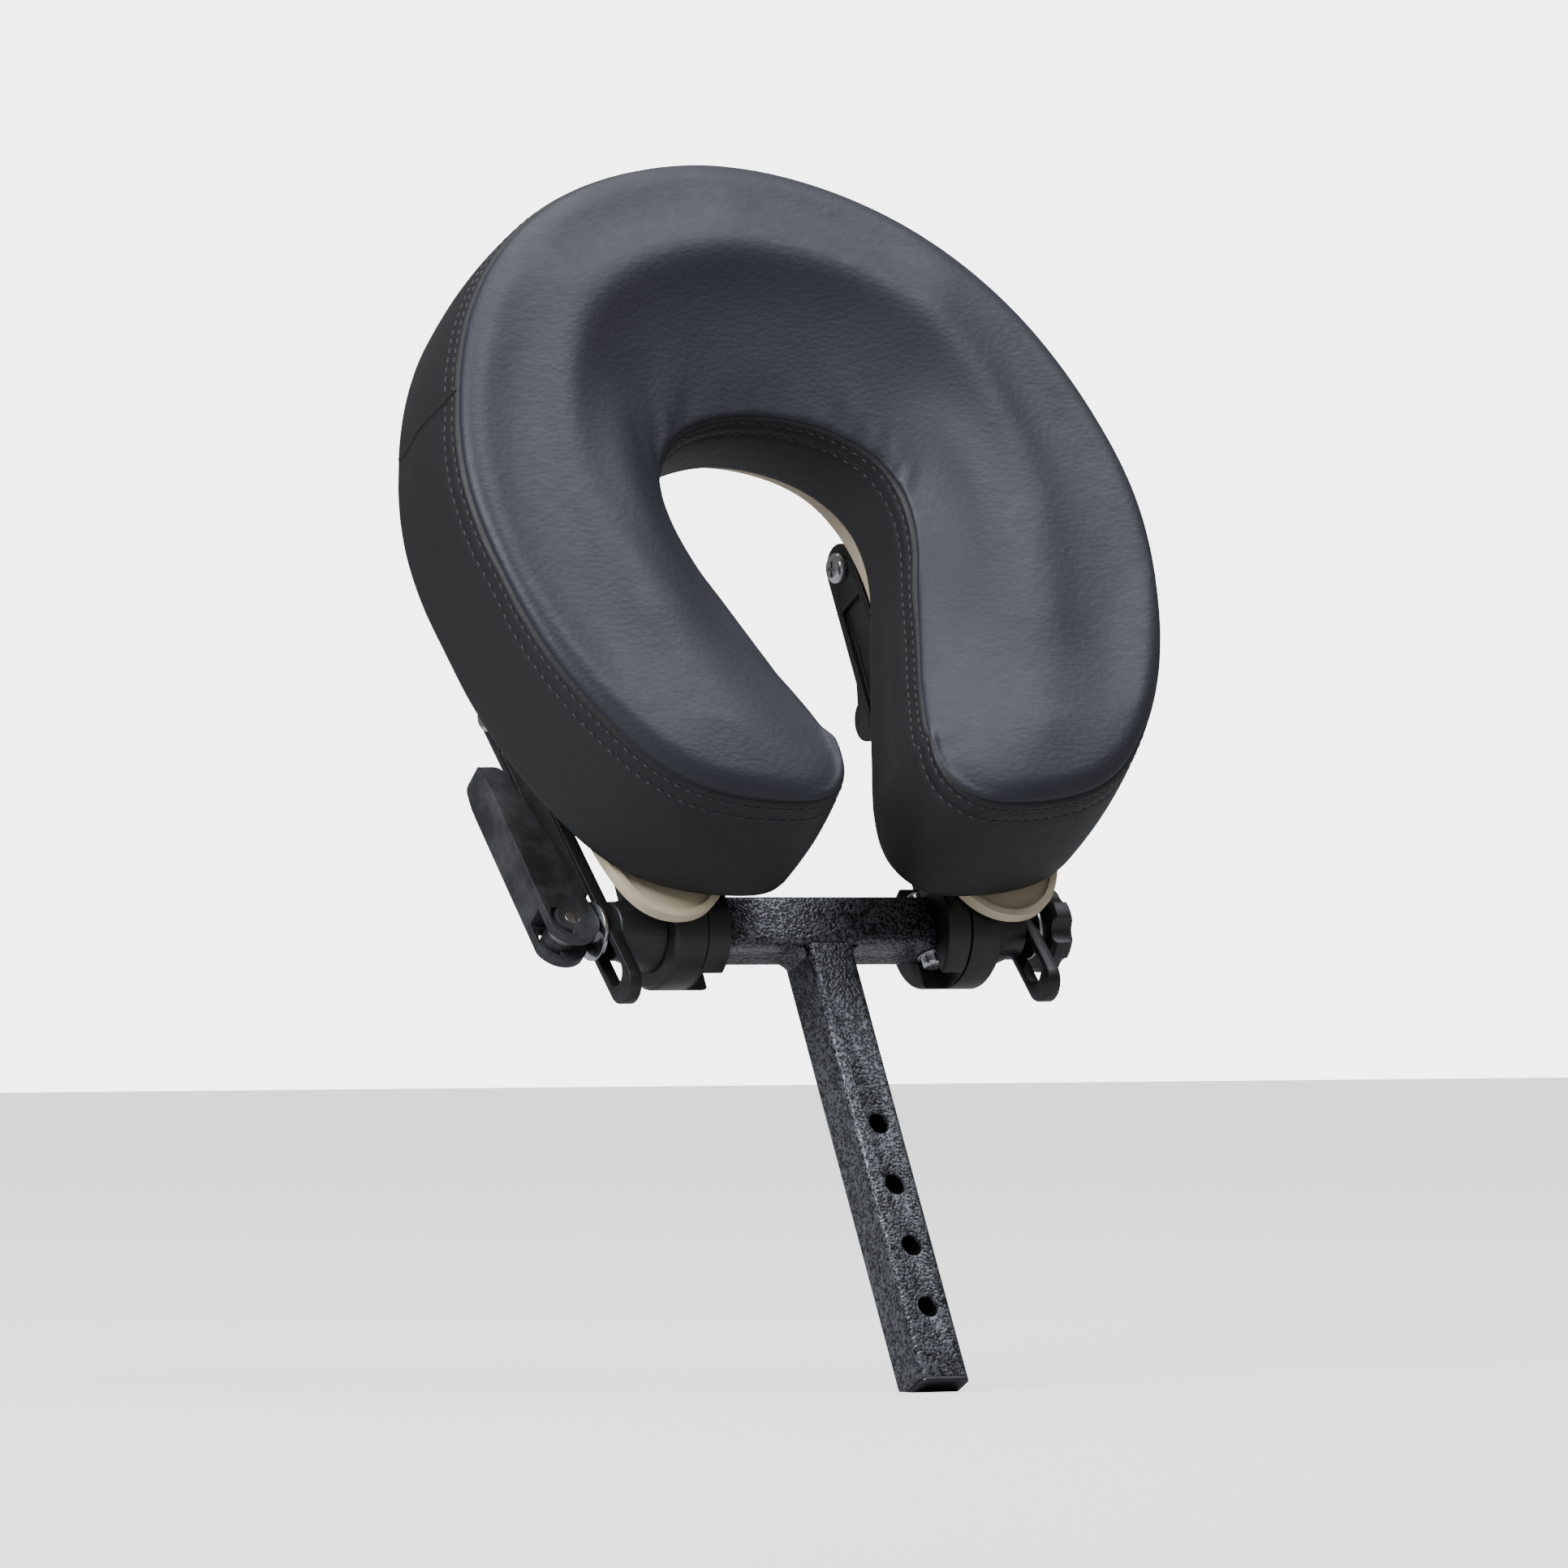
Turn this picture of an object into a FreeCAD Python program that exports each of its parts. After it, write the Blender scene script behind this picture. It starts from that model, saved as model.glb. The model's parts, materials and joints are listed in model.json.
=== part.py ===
import FreeCAD, Part
import math
import os

os.makedirs("parts", exist_ok=True)

V3 = FreeCAD.Vector

# ---------------------------------------------------------------------------
# Driving dimensions, millimetres and degrees.
# The post stands at the origin and leans back. The cradle turns about the
# clamp rod, which lies along X through the crossbar. Cradle places are given as
# (x, n, v): n in front of the rod, towards the user, and v up along the cradle.
# ---------------------------------------------------------------------------
POST_LEAN = 27.4            # post and crossbar lean from the vertical
CRADLE_LEAN = 31.0          # arms, platform and cushion lean from the vertical
LEVER_LEAN = 42.4           # closed cam lever lean from the vertical

TUBE_SIDE = 20.0            # square post and crossbar
TUBE_WALL = 1.5
TUBE_CORNER = 2.5
POST_LENGTH = 190.0         # post's lower end to the clamp rod's axis
LOCK_HOLE_R = 4.25          # row of height holes through the post
LOCK_HOLE_PITCH = 25.0
LOCK_HOLE_COUNT = 4
LOCK_HOLE_FIRST = 30.0
PLUG_CAP = 2.0              # end plug's cap under the post
PLUG_DEPTH = 14.0
PLUG_WALL = 2.0
WELD_LEG = 4.0
WELD_THROAT = 0.38          # bead's hollow as a share of its leg

ROD_R = 4.0                 # clamp rod
RUN_CLEAR = 0.06            # radial clearance of a running fit
SIDE_CLEAR = 0.3            # gap between faces that slide past each other

BLOCK_R = 22.0              # clamp block and arm hub share this radius
BLOCK_IN = 47.3             # inner face of the block from the middle
BLOCK_W = 10.0
BLOCK_WALL = 3.0            # block's closed outer wall past the crossbar's end
BLOCK_EDGE = 0.8
BLOCK_PLUG = 12.0           # block's plug inside the crossbar
SCREW_R = 2.5
SCREW_HEAD_R = 4.5
SCREW_HEAD_H = 5.0
SCREW_FLANGE = 1.2          # flange under the head, past its radius
SCREW_FLANGE_T = 1.0
SCREW_DOME = 1.5
SCREW_REACH = 5.6           # screw tip's distance from the rod's axis
POCKET_W = 13.0             # pocket round a screw head
SCREW_IN = 50.0             # screw's distance from the middle

HUB_W = 13.5                # arm hub, outside the block
HUB_BEVEL = 1.5
ARM_W = 8.0                 # arm blade
ARM_SET_IN = 2.0            # blade inside the hub's outer face
ARM_FOOT_R = 17.0
PIVOT_V = 160.0             # platform pivot, up the arm
PIVOT_N = 2.0
ARM_HEAD_R = 9.5
WEB_DEPTH = 2.5             # recess in the blade's inner side
RIB = 3.0
PIVOT_R = 3.0
PIVOT_HEAD_R = 6.0
PIVOT_HEAD_H = 3.5
PIVOT_DOME = 2.6
NUT_FLAT = 10.0             # across flats
NUT_H = 5.0

CONE_R = 16.0               # spacer between arm hub and link
SPACER_R = 11.0
CONE_W = 13.0
LINK_IN = 88.5              # inner face of the slotted link
LINK_T = 5.0
LINK_HALF_W = 8.0
LINK_REL_LEAN = 13.0        # link leans further back than the arm
LINK_LENGTH = 112.0         # clamp rod to link pivot
LINK_TAIL = 26.0            # slot's round end below the rod
SLOT_UP = 14.0              # slot's round end above the rod
SLOT_HALF_W = 5.4
LINK_WEB = 1.3
LINK_RIM = 2.5
LINK_SCREW_R = 3.0
LINK_HEAD_R = 6.0
LINK_HEAD_H = 3.0
LINK_DOME = 2.2
LINK_SCREW_BITE = 12.0      # shoulder screw's length in the boss
WASHER_T = 1.5
WASHER_R = 11.0

LEVER_W = 16.0
LEVER_CAM_R = 10.9
LEVER_TOP = 80.0
LEVER_TIP_T = 10.0
LEVER_FACE = 10.0           # outer face from the cam pin's axis
LEVER_FACE_LOW = -4.0       # flat face's lower end
LEVER_SHOULDER = (0.6, 5.0)  # grip's start: in from the cam's side, and up
LEVER_WAIST = 5.5           # grip's hollow, in from the cam's side at mid height
LEVER_GAP_R = 7.6           # curved gap between cheek and outer strap
LEVER_GAP_W = 2.0
FORK_CLEAR = 0.2            # fork to each flat of the rod's eye
FORK_FLOOR = 1.0            # fork's floor past the eye
EYE_R = 6.2
PIN_R = 3.0

KNOB_R = 15.8
KNOB_VALLEY = 2.8
KNOB_VALLEY_SHARE = 0.42    # valley radius as a share of the knob's
KNOB_EDGE = 1.5
KNOB_LOBES = 6
KNOB_NECK_R = 9.5
KNOB_NECK = 2.0
KNOB_T = 9.0
INSERT_R = 6.5
KNOB_CAP = 2.5

PLATE_N = 23.2              # platform's back face in front of the rod
PLATE_T = 3.0
RIM_W = 3.0
RIM_H = 1.7
BACK_RIM = 6.0
BACK_RIM_W = 2.5
BACK_RIM_FROM = 48.0        # the back rim stops above the arm hubs
HOOK_T = 1.7
HOOK_W = 25.0
HOOK_CROWN = (-35, 35, 222)  # x from and to, and lower edge v
HOOK_LIMBS = [(66, 106, 118), (60, 95, 40)]
BRACKET_IN = 71.4
BRACKET_T = 5.0
BRACKET_FOOT = 10.0
BRACKET_FOOT_T = 4.0
BRACKET_SCREW_END = 12.0    # screw centre from the foot's end
BRACKET_SLOPE = 6.0         # ear drawn in past the pivots
BRACKET_BITE = 6.0          # bracket screw past the platform
PAN_HEAD_R = 3.6
PAN_HEAD_H = 1.6
BRACKET_LOW = 92.0
BRACKET_HIGH = 176.0
BRACKET_BOSS_R = 11.0
LINK_BOSS_R = 8.5
BRACKET_SCREW_R = 2.0

CUSHION_N = 28.2            # cushion's back face in front of the rod
BAND_H = 54.0               # side band, back seam to front seam
CROWN_H = 8.0               # front panel stands this much over its seam
CROWN_R = 7.0
SKIN = 1.2                  # cover thickness
BACK_T = 1.6                # loop fabric back panel

# Half outline of the cushion, crown first, round the tip and up the opening.
CUSHION_HALF = [
    (0, 290), (52, 280), (93, 256), (121, 223), (139.5, 180), (146.5, 142), (143, 104), (133.5, 70),
    (117, 40), (92, 15), (70, 7.5), (48, 5.5), (31, 8.5), (21.5, 19), (22, 42), (32, 73), (44, 108),
    (52.5, 139), (50, 160), (37, 175.5), (18, 184), (0, 186.5),
]
# Half outline of the platform: lower and narrower at the tips.
PLATE_HALF = [
    (0, 280), (52, 270), (92, 244), (116, 211), (129, 176), (133, 140), (128, 102), (115, 64),
    (104, 34), (96, 8), (86, -6), (74, -10), (60, -6.5), (49, 8), (46, 30), (50, 70), (56.5, 110),
    (59, 140), (56, 160), (45, 180), (25, 191), (0, 194.5),
]
# Half loop that parts the outer band from the band round the opening.
SPLIT_HALF = [(0, -60), (34, -60), (34, 30), (44, 60), (70, 100), (88, 150), (70, 200), (0, 226)]

FAR = 500.0                 # reach of a cut that goes right through

ROD_CENTRE = V3(
    0,
    POST_LENGTH * math.sin(math.radians(POST_LEAN)),
    POST_LENGTH * math.cos(math.radians(POST_LEAN)),
)
HUB_IN = BLOCK_IN + BLOCK_W + SIDE_CLEAR
HUB_OUT = HUB_IN + HUB_W
ARM_OUT = HUB_OUT - ARM_SET_IN
ARM_IN = ARM_OUT - ARM_W
LINK_OUT = LINK_IN + LINK_T
WASHER_IN = LINK_OUT + SIDE_CLEAR
WASHER_OUT = WASHER_IN + WASHER_T
PIN_X = -(WASHER_OUT + SIDE_CLEAR + LEVER_CAM_R)
KNOB_IN = WASHER_OUT + SIDE_CLEAR
LINK_ANGLE = math.radians(LINK_REL_LEAN)
LINK_PIVOT_N = -LINK_LENGTH * math.sin(LINK_ANGLE)
LINK_PIVOT_V = LINK_LENGTH * math.cos(LINK_ANGLE)


# ---------------------------------------------------------------------------
# Small helpers
# ---------------------------------------------------------------------------
def leaned(shape, lean):
    """Turn a shape made round the rod's axis back by lean, and lift it to the rod."""
    out = shape.copy()
    out.rotate(V3(0, 0, 0), V3(1, 0, 0), -lean)
    out.translate(ROD_CENTRE)
    return out


def box(x0, x1, y0, y1, z0, z1):
    return Part.makeBox(x1 - x0, y1 - y0, z1 - z0, V3(x0, y0, z0))


def disc(radius, x0, x1, y=0.0, z=0.0):
    """Cylinder along X between x0 and x1."""
    low, high = min(x0, x1), max(x0, x1)
    return Part.makeCylinder(radius, high - low, V3(low, y, z), V3(1, 0, 0))


def bar(y1, z1, r1, y2, z2, r2, x0, x1):
    """Flat bar along X whose outline wraps two circles with tangent lines."""
    low, high = min(x0, x1), max(x0, x1)
    start, end = V3(low, y1, z1), V3(low, y2, z2)
    along = (end - start).normalize()
    side = V3(0, -along.z, along.y)
    span = (end - start).Length
    cosine = (r1 - r2) / span
    sine = math.sqrt(1 - cosine * cosine)

    def touch(centre, radius, way):
        return centre + (along * cosine + side * (way * sine)) * radius

    left1, right1 = touch(start, r1, 1), touch(start, r1, -1)
    left2, right2 = touch(end, r2, 1), touch(end, r2, -1)
    edges = [
        Part.Arc(left1, start - along * r1, right1).toShape(),
        Part.LineSegment(right1, right2).toShape(),
        Part.Arc(right2, end + along * r2, left2).toShape(),
        Part.LineSegment(left2, left1).toShape(),
    ]
    return Part.Face(Part.Wire(edges)).extrude(V3(high - low, 0, 0))


def prism_x(points, x0, x1):
    """Polygon of (y, z) points extruded along X."""
    low, high = min(x0, x1), max(x0, x1)
    corners = [V3(low, y, z) for y, z in points]
    wire = Part.makePolygon(corners + corners[:1])
    return Part.Face(wire).extrude(V3(high - low, 0, 0))


def horseshoe(half, inset=0.0):
    """Closed outline face in the X-Z plane, mirrored from its right half."""
    left = [(-x, v) for x, v in reversed(half[1:-1])]
    points = [V3(x, 0, v) for x, v in half + left]
    curve = Part.BSplineCurve()
    curve.interpolate(Points=points, PeriodicFlag=True)
    if inset:
        curve = inset_curve(curve, inset, 2 * len(points))
    return Part.Face(Part.Wire([curve.toShape()]))


def inset_curve(curve, inset, count):
    """Closed curve that runs inside the first one by inset."""
    first, last = curve.FirstParameter, curve.LastParameter
    points = []
    for k in range(count):
        here = first + (last - first) * k / count
        way = curve.tangent(here)[0]
        points.append(curve.value(here) + V3(way.z, 0, -way.x) * -inset)
    inner = Part.BSplineCurve()
    inner.interpolate(Points=points, PeriodicFlag=True)
    if enclosed_area(inner) < enclosed_area(curve):
        return inner
    return inset_curve(curve, -inset, count)


def enclosed_area(curve):
    return Part.Face(Part.Wire([curve.toShape()])).Area


def slab(face, n0, n1):
    """Horseshoe face extruded from n0 to n1 in front of the rod."""
    out = face.copy()
    out.translate(V3(0, -n0, 0))
    return out.extrude(V3(0, -(n1 - n0), 0))


def hexagon(flat, x0, x1, y, z):
    radius = flat / math.sqrt(3)
    points = []
    for k in range(6):
        angle = math.radians(60 * k + 30)
        points.append((y + radius * math.cos(angle), z + radius * math.sin(angle)))
    return prism_x(points, x0, x1)


def square_tube(length, solid=False):
    """Square tube along Z from 0 to length, centred on the axis."""
    half = TUBE_SIDE / 2
    outer = box(-half, half, -half, half, 0, length)
    outer = outer.makeFillet(TUBE_CORNER, [e for e in outer.Edges if is_along_z(e)])
    if solid:
        return outer
    inner = half - TUBE_WALL
    core = box(-inner, inner, -inner, inner, -1, length + 1)
    core = core.makeFillet(TUBE_CORNER - TUBE_WALL, [e for e in core.Edges if is_along_z(e)])
    return outer.cut(core)


def is_along_z(edge):
    way = edge.Vertexes[1].Point - edge.Vertexes[0].Point
    return abs(way.x) < 1e-6 and abs(way.y) < 1e-6


def mirrored(shape):
    return shape.mirror(V3(0, 0, 0), V3(1, 0, 0))


def save(name, shape):
    if shape.ShapeType == "Compound" and len(shape.Solids) == 1:
        shape = shape.Solids[0]
    shape.exportStep("parts/" + name + ".step")
    print(name, len(shape.Solids), shape.isValid(), round(shape.Volume))


# ---------------------------------------------------------------------------
# Frame: crossbar, post, clamp blocks
# ---------------------------------------------------------------------------
def crossbar_tube():
    half = BLOCK_IN + BLOCK_W - BLOCK_WALL
    tube = square_tube(2 * half)
    tube.rotate(V3(0, 0, 0), V3(0, 1, 0), 90)
    tube.translate(V3(-half, 0, 0))
    for side in (-1, 1):
        for way in (-1, 1):
            tube = tube.cut(Part.makeCylinder(
                SCREW_R, TUBE_SIDE, V3(side * SCREW_IN, 0, 0), V3(0, 0, way)))
    return tube


def post_tube():
    length = POST_LENGTH - PLUG_CAP - TUBE_SIDE / 2
    tube = square_tube(length)
    tube.translate(V3(0, 0, -POST_LENGTH + PLUG_CAP))
    for k in range(LOCK_HOLE_COUNT):
        height = -POST_LENGTH + LOCK_HOLE_FIRST + k * LOCK_HOLE_PITCH
        hole = Part.makeCylinder(LOCK_HOLE_R, 2 * TUBE_SIDE, V3(0, -TUBE_SIDE, height), V3(0, 1, 0))
        tube = tube.cut(hole)
    return tube


def post_end_plug():
    half = TUBE_SIDE / 2
    cap = box(-half, half, -half, half, -POST_LENGTH, -POST_LENGTH + PLUG_CAP)
    cap = cap.makeFillet(TUBE_CORNER, [e for e in cap.Edges if is_along_z(e)])
    inner = half - TUBE_WALL
    stem = box(-inner, inner, -inner, inner, -POST_LENGTH, -POST_LENGTH + PLUG_CAP + PLUG_DEPTH)
    stem = stem.makeFillet(TUBE_CORNER - TUBE_WALL, [e for e in stem.Edges if is_along_z(e)])
    hollow = inner - PLUG_WALL
    stem = stem.cut(box(-hollow, hollow, -hollow, hollow, -POST_LENGTH + PLUG_CAP, 0))
    return cap.fuse(stem).removeSplitter()


def tee_weld():
    """Fillet weld down both sides of the post under the crossbar."""
    half = TUBE_SIDE / 2
    beads = []
    for side in (-1, 1):
        corner = V3(side * half, -half + TUBE_CORNER, -half)
        out = V3(side * (half + WELD_LEG), -half + TUBE_CORNER, -half)
        down = V3(side * half, -half + TUBE_CORNER, -half - WELD_LEG)
        throat = half + WELD_THROAT * WELD_LEG
        hollow = V3(side * throat, -half + TUBE_CORNER, -throat)
        edges = [
            Part.LineSegment(corner, out).toShape(),
            Part.Arc(out, hollow, down).toShape(),
            Part.LineSegment(down, corner).toShape(),
        ]
        face = Part.Face(Part.Wire(edges))
        beads.append(face.extrude(V3(0, TUBE_SIDE - 2 * TUBE_CORNER, 0)))
    return Part.makeCompound(beads)


def clamp_block():
    """Right-hand block: a disc that plugs and sleeves the crossbar's end."""
    outer = BLOCK_IN + BLOCK_W
    body = disc(BLOCK_R, BLOCK_IN, outer)
    body = body.makeChamfer(BLOCK_EDGE, body.Edges)
    seat = outer - BLOCK_WALL
    tube = square_tube(seat, solid=True)
    tube.rotate(V3(0, 0, 0), V3(0, 1, 0), 90)
    body = body.cut(tube)
    inner = TUBE_SIDE / 2 - TUBE_WALL
    plug = square_plug(inner, outer - BLOCK_WALL - BLOCK_PLUG, seat)
    body = body.fuse(plug)
    body = body.cut(disc(ROD_R + RUN_CLEAR, 0, outer + 1))
    for way in (-1, 1):
        pocket = box(0, SCREW_IN + POCKET_W / 2, -POCKET_W / 2, POCKET_W / 2, TUBE_SIDE / 2, BLOCK_R + 1)
        hole = Part.makeCylinder(SCREW_R, BLOCK_R, V3(SCREW_IN, 0, SCREW_REACH), V3(0, 0, 1))
        cut = pocket.fuse(hole)
        if way < 0:
            cut.rotate(V3(0, 0, 0), V3(1, 0, 0), 180)
        body = body.cut(cut)
    return body.removeSplitter()


def square_plug(half, x0, x1):
    plug = box(x0, x1, -half, half, -half, half)
    along = [e for e in plug.Edges if abs((e.Vertexes[1].Point - e.Vertexes[0].Point).x) > 1e-6]
    return plug.makeFillet(TUBE_CORNER - TUBE_WALL, along)


def block_screws():
    """Four hexagon screws, above and below each end of the crossbar."""
    seat = TUBE_SIDE / 2
    screws = []
    for side in (-1, 1):
        for way in (-1, 1):
            shank = Part.makeCylinder(SCREW_R, seat - SCREW_REACH + SCREW_FLANGE_T, V3(0, 0, SCREW_REACH))
            washer = Part.makeCylinder(SCREW_HEAD_R + SCREW_FLANGE, SCREW_FLANGE_T, V3(0, 0, seat))
            head = Part.makeCylinder(
                SCREW_HEAD_R, SCREW_HEAD_H - SCREW_FLANGE_T, V3(0, 0, seat + SCREW_FLANGE_T))
            dome = [e for e in head.Edges if e.BoundBox.ZMin > seat + SCREW_HEAD_H - 0.1]
            head = head.makeFillet(SCREW_DOME, dome)
            screw = shank.fuse([washer, head]).removeSplitter()
            if way < 0:
                screw.rotate(V3(0, 0, 0), V3(1, 0, 0), 180)
            screw.translate(V3(side * SCREW_IN, 0, 0))
            screws.append(screw)
    return Part.makeCompound(screws)


# ---------------------------------------------------------------------------
# Arms and what is clamped on the rod
# ---------------------------------------------------------------------------
def arm():
    """Right-hand arm: hub round the rod, blade with a recessed web, pivot boss."""
    hub = disc(BLOCK_R, HUB_IN, HUB_OUT)
    rim = [e for e in hub.Edges if e.BoundBox.XMin > HUB_OUT - 0.1]
    hub = hub.makeChamfer(HUB_BEVEL, rim)
    blade = bar(0, 0, ARM_FOOT_R, -PIVOT_N, PIVOT_V, ARM_HEAD_R, ARM_IN, ARM_OUT)
    web_low = BLOCK_R + RIB
    web_high = PIVOT_V - ARM_HEAD_R - 2 * RIB
    recess = bar(0, 0, ARM_FOOT_R - RIB, -PIVOT_N, PIVOT_V, ARM_HEAD_R - RIB,
                 ARM_IN - 1, ARM_IN + WEB_DEPTH)
    recess = recess.common(box(0, HUB_OUT, -BLOCK_R, BLOCK_R, 0, web_high))
    recess = recess.cut(disc(web_low, ARM_IN - 2, HUB_OUT))
    recess = recess.cut(disc(ARM_HEAD_R + RIB, ARM_IN - 2, HUB_OUT, -PIVOT_N, PIVOT_V))
    out = hub.fuse(blade.cut(recess))
    out = out.cut(disc(ROD_R, 0, FAR))
    out = out.cut(disc(PIVOT_R, 0, FAR, -PIVOT_N, PIVOT_V))
    return out.removeSplitter()


def pivot_screw():
    """Domed screw: head on the arm's inner side, shank through arm and bracket."""
    end = BRACKET_IN + BRACKET_T + SIDE_CLEAR + NUT_H
    head = disc(PIVOT_HEAD_R, ARM_IN - PIVOT_HEAD_H, ARM_IN, -PIVOT_N, PIVOT_V)
    edge = [e for e in head.Edges if e.BoundBox.XMax < ARM_IN - PIVOT_HEAD_H + 0.1]
    head = head.makeFillet(PIVOT_DOME, edge)
    shank = disc(PIVOT_R, ARM_IN, end, -PIVOT_N, PIVOT_V)
    return head.fuse(shank).removeSplitter()


def pivot_nut():
    start = BRACKET_IN + BRACKET_T + SIDE_CLEAR
    nut = hexagon(NUT_FLAT, start, start + NUT_H, -PIVOT_N, PIVOT_V)
    return nut.cut(disc(PIVOT_R, start - 1, start + NUT_H + 1, -PIVOT_N, PIVOT_V))


def spacer():
    """Turned spacer: a cone against the hub, then a plain collar to the link."""
    cone = Part.makeCone(CONE_R, SPACER_R, CONE_W, V3(HUB_OUT, 0, 0), V3(1, 0, 0))
    collar = disc(SPACER_R, HUB_OUT + CONE_W, LINK_IN - SIDE_CLEAR)
    return cone.fuse(collar).cut(disc(ROD_R, 0, FAR)).removeSplitter()


def clamp_rod():
    """Rod along X with a flat eye for the cam pin at its left end."""
    rod = disc(ROD_R, PIN_X, KNOB_IN + KNOB_NECK + KNOB_T - KNOB_CAP)
    eye = Part.makeCylinder(EYE_R, 2 * ROD_R, V3(PIN_X, -ROD_R, 0), V3(0, 1, 0))
    rod = rod.fuse(eye)
    rod = rod.cut(Part.makeCylinder(PIN_R, 4 * ROD_R, V3(PIN_X, -2 * ROD_R, 0), V3(0, 1, 0)))
    return rod.removeSplitter()


def cam_pin():
    half = LEVER_W / 2
    return Part.makeCylinder(PIN_R, LEVER_W, V3(PIN_X, -half, 0), V3(0, 1, 0))


def clamp_washer(x0):
    ring = disc(WASHER_R, x0, x0 + WASHER_T)
    return ring.cut(disc(ROD_R, x0 - 1, x0 + WASHER_T + 1))


def cam_lever():
    """Lever along Z, closed: forked round end, flat outer face, tapered grip."""
    y0 = -LEVER_W / 2
    face_x = PIN_X - LEVER_FACE
    inner_x = PIN_X + LEVER_CAM_R
    tip_x = face_x + LEVER_TIP_T
    tip_r = LEVER_TIP_T / 2
    start = V3(face_x, y0, LEVER_FACE_LOW)
    low = V3(PIN_X, y0, -LEVER_CAM_R)
    right = V3(inner_x, y0, 0)
    shoulder = V3(inner_x - LEVER_SHOULDER[0], y0, LEVER_SHOULDER[1])
    waist = V3(inner_x - LEVER_WAIST, y0, LEVER_TOP / 2)
    tip = V3(tip_x, y0, LEVER_TOP - tip_r)
    top = V3(face_x + tip_r, y0, LEVER_TOP)
    left = V3(face_x, y0, LEVER_TOP - tip_r)
    edges = [
        Part.Arc(start, on_cam(225, y0), low).toShape(),
        Part.Arc(low, on_cam(315, y0), right).toShape(),
        Part.LineSegment(right, shoulder).toShape(),
        Part.Arc(shoulder, waist, tip).toShape(),
        Part.Arc(tip, top, left).toShape(),
        Part.LineSegment(left, start).toShape(),
    ]
    body = Part.Face(Part.Wire(edges)).extrude(V3(0, LEVER_W, 0))
    gap = lever_gap(y0)
    half_gap = ROD_R + FORK_CLEAR
    fork = box(PIN_X - FAR, PIN_X + FAR, -half_gap, half_gap, -FAR, EYE_R + FORK_FLOOR)
    body = body.cut(gap).cut(fork)
    bore = Part.makeCylinder(PIN_R + RUN_CLEAR, 2 * LEVER_W, V3(PIN_X, 2 * y0, 0), V3(0, 1, 0))
    return body.cut(bore)


def on_cam(degrees, y):
    """Point on the cam's circle round the pin."""
    turn = math.radians(degrees)
    return V3(PIN_X + LEVER_CAM_R * math.cos(turn), y, LEVER_CAM_R * math.sin(turn))


def lever_gap(y0):
    """Curved see-through gap between the cam and the outer strap."""
    ring = Part.makeCylinder(LEVER_GAP_R + LEVER_GAP_W / 2, LEVER_W, V3(PIN_X, y0, 0), V3(0, 1, 0))
    ring = ring.cut(Part.makeCylinder(
        LEVER_GAP_R - LEVER_GAP_W / 2, LEVER_W, V3(PIN_X, y0, 0), V3(0, 1, 0)))
    return ring.common(box(PIN_X - FAR, PIN_X - LEVER_GAP_W, y0, -y0, -FAR, LEVER_SHOULDER[1]))


def star_knob():
    """Lobed knob on the rod's right end, with a neck against the washer."""
    neck = disc(KNOB_NECK_R, KNOB_IN, KNOB_IN + KNOB_NECK)
    x0 = KNOB_IN + KNOB_NECK
    head = disc(KNOB_R, x0, x0 + KNOB_T)
    head = head.makeChamfer(KNOB_EDGE, head.Edges)
    valley_r = KNOB_R * KNOB_VALLEY_SHARE
    for k in range(KNOB_LOBES):
        angle = 2 * math.pi * (k + 0.5) / KNOB_LOBES
        reach = KNOB_R - KNOB_VALLEY + valley_r
        head = head.cut(disc(valley_r, x0 - 1, x0 + KNOB_T + 1,
                             reach * math.cos(angle), reach * math.sin(angle)))
    knob = neck.fuse(head)
    bore = disc(INSERT_R, KNOB_IN - 1, x0 + KNOB_T - KNOB_CAP)
    return knob.cut(bore).removeSplitter()


def knob_insert():
    end = KNOB_IN + KNOB_NECK + KNOB_T - KNOB_CAP
    return disc(INSERT_R, KNOB_IN, end).cut(disc(ROD_R + RUN_CLEAR, 0, FAR))


# ---------------------------------------------------------------------------
# Slotted tilt link, along Z from the rod to its own pivot
# ---------------------------------------------------------------------------
def slotted_link():
    out = bar(0, -LINK_TAIL, LINK_HALF_W, 0, LINK_LENGTH, LINK_HALF_W, LINK_IN, LINK_OUT)
    slot = bar(0, -LINK_TAIL + SLOT_HALF_W, SLOT_HALF_W, 0, SLOT_UP, SLOT_HALF_W, 0, FAR)
    out = out.cut(slot)
    web_r = LINK_HALF_W - LINK_RIM
    web_low = SLOT_UP + SLOT_HALF_W + web_r + LINK_RIM
    web_high = LINK_LENGTH - LINK_HALF_W - LINK_RIM - web_r
    for x0, x1 in ((LINK_IN - 1, LINK_IN + LINK_WEB), (LINK_OUT - LINK_WEB, LINK_OUT + 1)):
        out = out.cut(bar(0, web_low, web_r, 0, web_high, web_r, x0, x1))
    return out.cut(disc(LINK_SCREW_R + RUN_CLEAR, 0, FAR, 0, LINK_LENGTH))


def link_screw():
    """Shoulder screw through the link into the bracket's boss."""
    y, z = -LINK_PIVOT_N, LINK_PIVOT_V
    shank = disc(LINK_SCREW_R, LINK_IN - LINK_SCREW_BITE, LINK_OUT + SIDE_CLEAR, y, z)
    head = disc(LINK_HEAD_R, LINK_OUT + SIDE_CLEAR, LINK_OUT + SIDE_CLEAR + LINK_HEAD_H, y, z)
    edge = [e for e in head.Edges if e.BoundBox.XMin > LINK_OUT + LINK_HEAD_H]
    head = head.makeFillet(LINK_DOME, edge)
    return shank.fuse(head).removeSplitter()


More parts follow.
